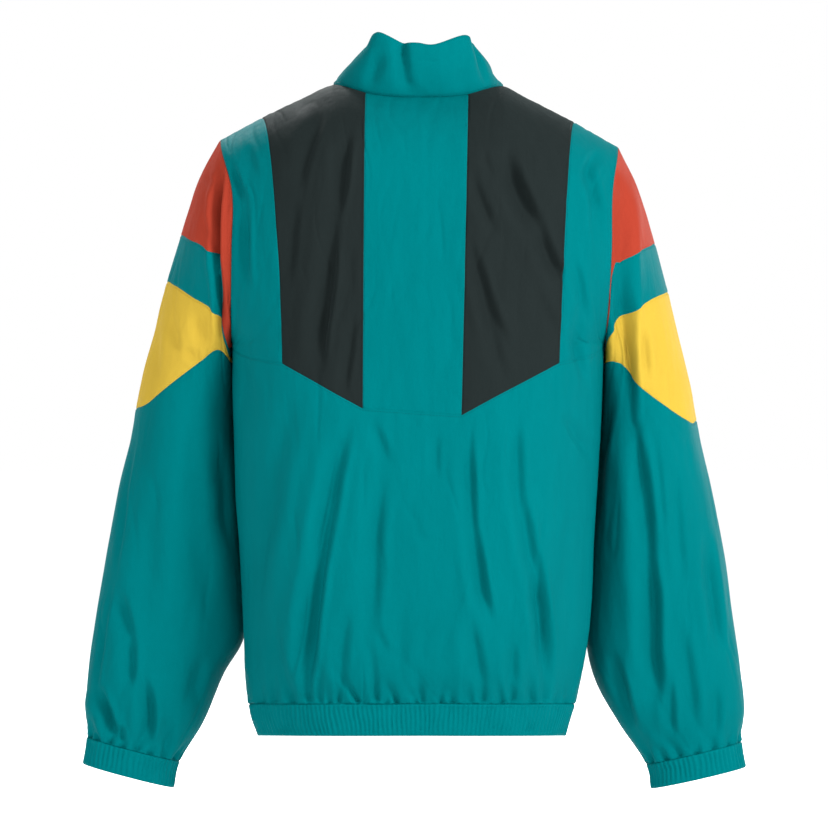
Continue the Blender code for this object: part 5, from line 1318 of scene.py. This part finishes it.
class Graph:
    """A material, with short names for adding shader nodes and joining them. Fixed: its constant values."""

    def __init__(self, name, fixed):
        self.material = bpy.data.materials.new(name)
        self.material.use_nodes = True
        self.tree = self.material.node_tree
        self.shader = self.tree.nodes["Principled BSDF"]
        self.place = self.add("ShaderNodeTexCoord").outputs["Object"]
        for socket, value in fixed.items():
            self.shader.inputs[socket].default_value = value

    def add(self, kind, inputs=(), **settings):
        node = self.tree.nodes.new(kind)
        for key, value in settings.items():
            setattr(node, key, value)
        for key, value in dict(inputs).items():
            if isinstance(value, bpy.types.NodeSocket):
                self.tree.links.new(value, node.inputs[key])
            else:
                node.inputs[key].default_value = value
        return node

    def math(self, operation, first, second=0.0):
        return self.add("ShaderNodeMath", {0: first, 1: second}, operation=operation).outputs[0]

    def wave(self, value, length):
        return self.math("SINE", self.math("MULTIPLY", value, 2 * np.pi / length))

    def noise(self, vector, scale, detail=2.0, rough=0.5):
        return self.add("ShaderNodeTexNoise", {"Vector": vector, "Scale": scale, "Detail": detail,
                                               "Roughness": rough}).outputs["Fac"]

    def spread(self, value, new_low, new_high, low=0.3, high=0.7):
        """The value, which runs from low to high, brought to a new range. Noise runs from about .3 to .7."""
        return self.add("ShaderNodeMapRange", {"Value": value, "From Min": low, "From Max": high,
                                               "To Min": new_low, "To Max": new_high}).outputs["Result"]

    def stretched(self, down):
        """Places whose patterns run long down the cloth, the more so the smaller the share."""
        node = self.add("ShaderNodeMapping", {"Vector": self.place, "Scale": (1.0, 1.0, down)})
        return node.outputs["Vector"]

    def bump(self, height, distance, below=None):
        inputs = {"Height": height, "Distance": distance, "Strength": 1.0}
        if below is not None:
            inputs["Normal"] = below
        return self.add("ShaderNodeBump", inputs).outputs["Normal"]

    def link(self, value, socket):
        self.tree.links.new(value, self.shader.inputs[socket])

    def paint(self, colour, value):
        """Give the shader a colour, made darker or lighter by a value round 1."""
        grey = self.add("ShaderNodeCombineColor", {channel: value for channel in ("Red", "Green", "Blue")})
        mix = self.add("ShaderNodeMix", data_type="RGBA", blend_type="MULTIPLY")
        mix.inputs["Factor"].default_value = 1.0
        mix.inputs["A"].default_value = (*colour, 1.0)
        self.tree.links.new(grey.outputs["Color"], mix.inputs["B"])
        self.link(mix.outputs["Result"], "Base Color")


WEAVE_STEP, HERRINGBONE, RUN = 0.0007, 0.0016, 0.0009    # of the nylon, and the tape's zigzag and rows


def nylon(name, colour, rough=0.58, gloss=0.016):
    """Thin plain-woven nylon: a fine weave, small soft crinkles and slightly uneven dye."""
    dye = (*(channel / max(colour) for channel in colour), 1.0)
    g = Graph(name, {"Sheen Weight": 0.02, "Sheen Roughness": 0.45, "Sheen Tint": dye, "Specular Tint": dye,
                     "Specular IOR Level": gloss})
    hang = g.stretched(0.35)
    streak = g.noise(g.stretched(0.18), 70.0, 3.0, 0.6)
    shade = g.math("MULTIPLY", g.spread(g.noise(hang, 9.0, 3.0), 0.95, 1.05), g.spread(streak, 0.97, 1.03))
    g.paint(colour, g.math("MULTIPLY", shade, g.spread(g.noise(g.place, 900.0), 0.975, 1.025)))
    g.link(g.spread(g.noise(hang, 24.0, 4.0), rough - 0.05, rough + 0.07), "Roughness")
    cut = g.add("ShaderNodeSeparateXYZ", {"Vector": g.add("ShaderNodeUVMap", uv_map="cut").outputs["UV"]})
    warp, weft = (g.wave(cut.outputs[axis], WEAVE_STEP) for axis in "XY")
    normal = g.bump(g.noise(hang, 38.0, 3.0, 0.55), 0.0013)
    normal = g.bump(g.noise(g.stretched(0.40), 120.0, 4.0, 0.62), 0.00055, normal)
    g.link(g.bump(g.math("MULTIPLY", warp, weft), 0.00003, normal), "Normal")
    return g.material


def thread(name, colour):
    """Twisted sewing thread."""
    g = Graph(name, {"Roughness": 0.60, "Specular IOR Level": 0.05})
    twist = g.noise(g.place, 2600.0)
    g.paint(colour, g.spread(twist, 0.85, 1.15))
    g.link(g.bump(twist, 0.00008), "Normal")
    return g.material


def woven_tape(name, colour):
    """Herringbone tape."""
    g = Graph(name, {"Roughness": 0.72, "Specular IOR Level": 0.06})
    split = g.add("ShaderNodeSeparateXYZ", {"Vector": g.place})
    slant = g.math("ADD", split.outputs["Z"], g.math("PINGPONG", split.outputs["X"], HERRINGBONE))
    rows = g.wave(slant, RUN)
    uneven = g.spread(g.noise(g.place, 400.0), 0.94, 1.06)
    g.paint(colour, g.math("MULTIPLY", g.spread(rows, 0.86, 1.08, -1.0, 1.0), uneven))
    g.link(g.bump(rows, 0.00012), "Normal")
    return g.material


def moulded(name, colour):
    """Moulded plastic, a little cloudy and specked."""
    g = Graph(name, {"Specular IOR Level": 0.25})
    speck = g.noise(g.place, 700.0, 3.0)
    g.paint(colour, g.spread(g.noise(g.place, 60.0), 0.92, 1.08))
    g.link(g.spread(speck, 0.30, 0.42), "Roughness")
    g.link(g.bump(speck, 0.00004), "Normal")
    return g.material


def satin_metal(name, colour):
    """Satin metal with fine brushing and small marks."""
    g = Graph(name, {"Metallic": 1.0})
    brush = g.noise(g.stretched(0.06), 2400.0, 3.0)
    g.paint(colour, g.spread(g.noise(g.place, 300.0, 5.0, 0.7), 0.88, 1.06, low=0.35))
    g.link(g.spread(brush, 0.30, 0.48), "Roughness")
    g.link(g.bump(brush, 0.00003), "Normal")
    return g.material


MATERIALS = {name: make(name, colour, **options) for name, make, colour, options in (
    ("teal_nylon", nylon, (0.0, 0.092, 0.100), {}),
    ("charcoal_nylon", nylon, (0.0082, 0.0115, 0.0115), {"rough": 0.62, "gloss": 0.010}),
    ("red_nylon", nylon, (0.215, 0.026, 0.014), {}),
    ("yellow_nylon", nylon, (0.345, 0.235, 0.028), {}),
    ("teal_elastic", nylon, (0.0, 0.098, 0.107), {"rough": 0.55}),
    ("teal_thread", thread, (0.0, 0.078, 0.085), {}),
    ("charcoal_thread", thread, (0.0055, 0.0080, 0.0080), {}),
    ("yellow_thread", thread, (0.32, 0.21, 0.022), {}),
    ("zip_tape", woven_tape, (0.0, 0.070, 0.066), {}),
    ("zip_teeth", moulded, (0.0, 0.060, 0.058), {}),
    ("zip_metal", satin_metal, (0.105, 0.108, 0.110), {}),
)}

# ---------------------------------------------------------------- stage, light and camera

FLOOR_Z, FLOOR_SIZE = -0.790, 80.0
WHITE = (1.0, 1.0, 1.0, 1.0)
CAMERA_DISTANCE = 6.0
VIEW_WIDTH = 0.8694        # what the photo's width covers at the middle of the garment
VIEW_X, VIEW_Z = 0.0047, -0.3297
SENSOR = 36.0
LIT_POINT = (0.0, 0.0, -0.33)
LIGHTS = {"key": ((-2.3, 2.3, 1.1), 1.0, 170.0), "fill": ((1.9, 3.2, 0.3), 1.6, 55.0),
          "front_key": ((0.9, -2.7, 2.3), 1.0, 170.0), "front_fill": ((-2.3, -2.7, 0.3), 1.6, 40.0)}


def make_stage():
    g = Graph("floor", {"Roughness": 0.9, "Specular IOR Level": 0.0, "Emission Color": WHITE,
                        "Emission Strength": 0.04})
    g.paint((0.97, 0.97, 0.97), g.spread(g.noise(g.place, 3.0), 0.99, 1.01))
    bpy.ops.mesh.primitive_plane_add(size=FLOOR_SIZE, location=(0.0, 0.0, FLOOR_Z))
    floor = bpy.context.object
    floor.name = "floor"
    floor.data.materials.append(g.material)


def make_lights():
    world = bpy.data.worlds.new("studio")
    bpy.context.scene.world = world
    world.use_nodes = True
    bpy.context.scene.view_settings.view_transform = "Standard"
    back = world.node_tree.nodes["Background"]
    back.inputs["Color"].default_value = WHITE
    back.inputs["Strength"].default_value = 1.0
    for name, (place, size, power) in LIGHTS.items():
        data = bpy.data.lights.new(name, "AREA")
        data.shape = "DISK"
        data.size = size
        data.energy = power
        lamp = place_object(name, data)
        lamp.location = place
        lamp.rotation_euler = (Vector(LIT_POINT) - Vector(place)).to_track_quat("-Z", "Y").to_euler()
        lamp.visible_camera = False


def make_camera():
    data = bpy.data.cameras.new("camera")
    data.sensor_width = SENSOR
    data.lens = SENSOR * CAMERA_DISTANCE / VIEW_WIDTH
    camera = place_object("camera", data)
    camera.location = (VIEW_X, CAMERA_DISTANCE, VIEW_Z)
    camera.rotation_euler = (np.pi / 2, 0.0, np.pi)
    bpy.context.scene.camera = camera


make_camera()
make_lights()
make_stage()
make_torso()
for side_name, side_hand in SIDES.items():
    make_sleeve(side_name, side_hand)
    make_cuff(side_name, side_hand)
COLLAR_GRID = make_collar()
make_hem_band()
make_teeth(COLLAR_GRID)
dress_zip()
make_threads()
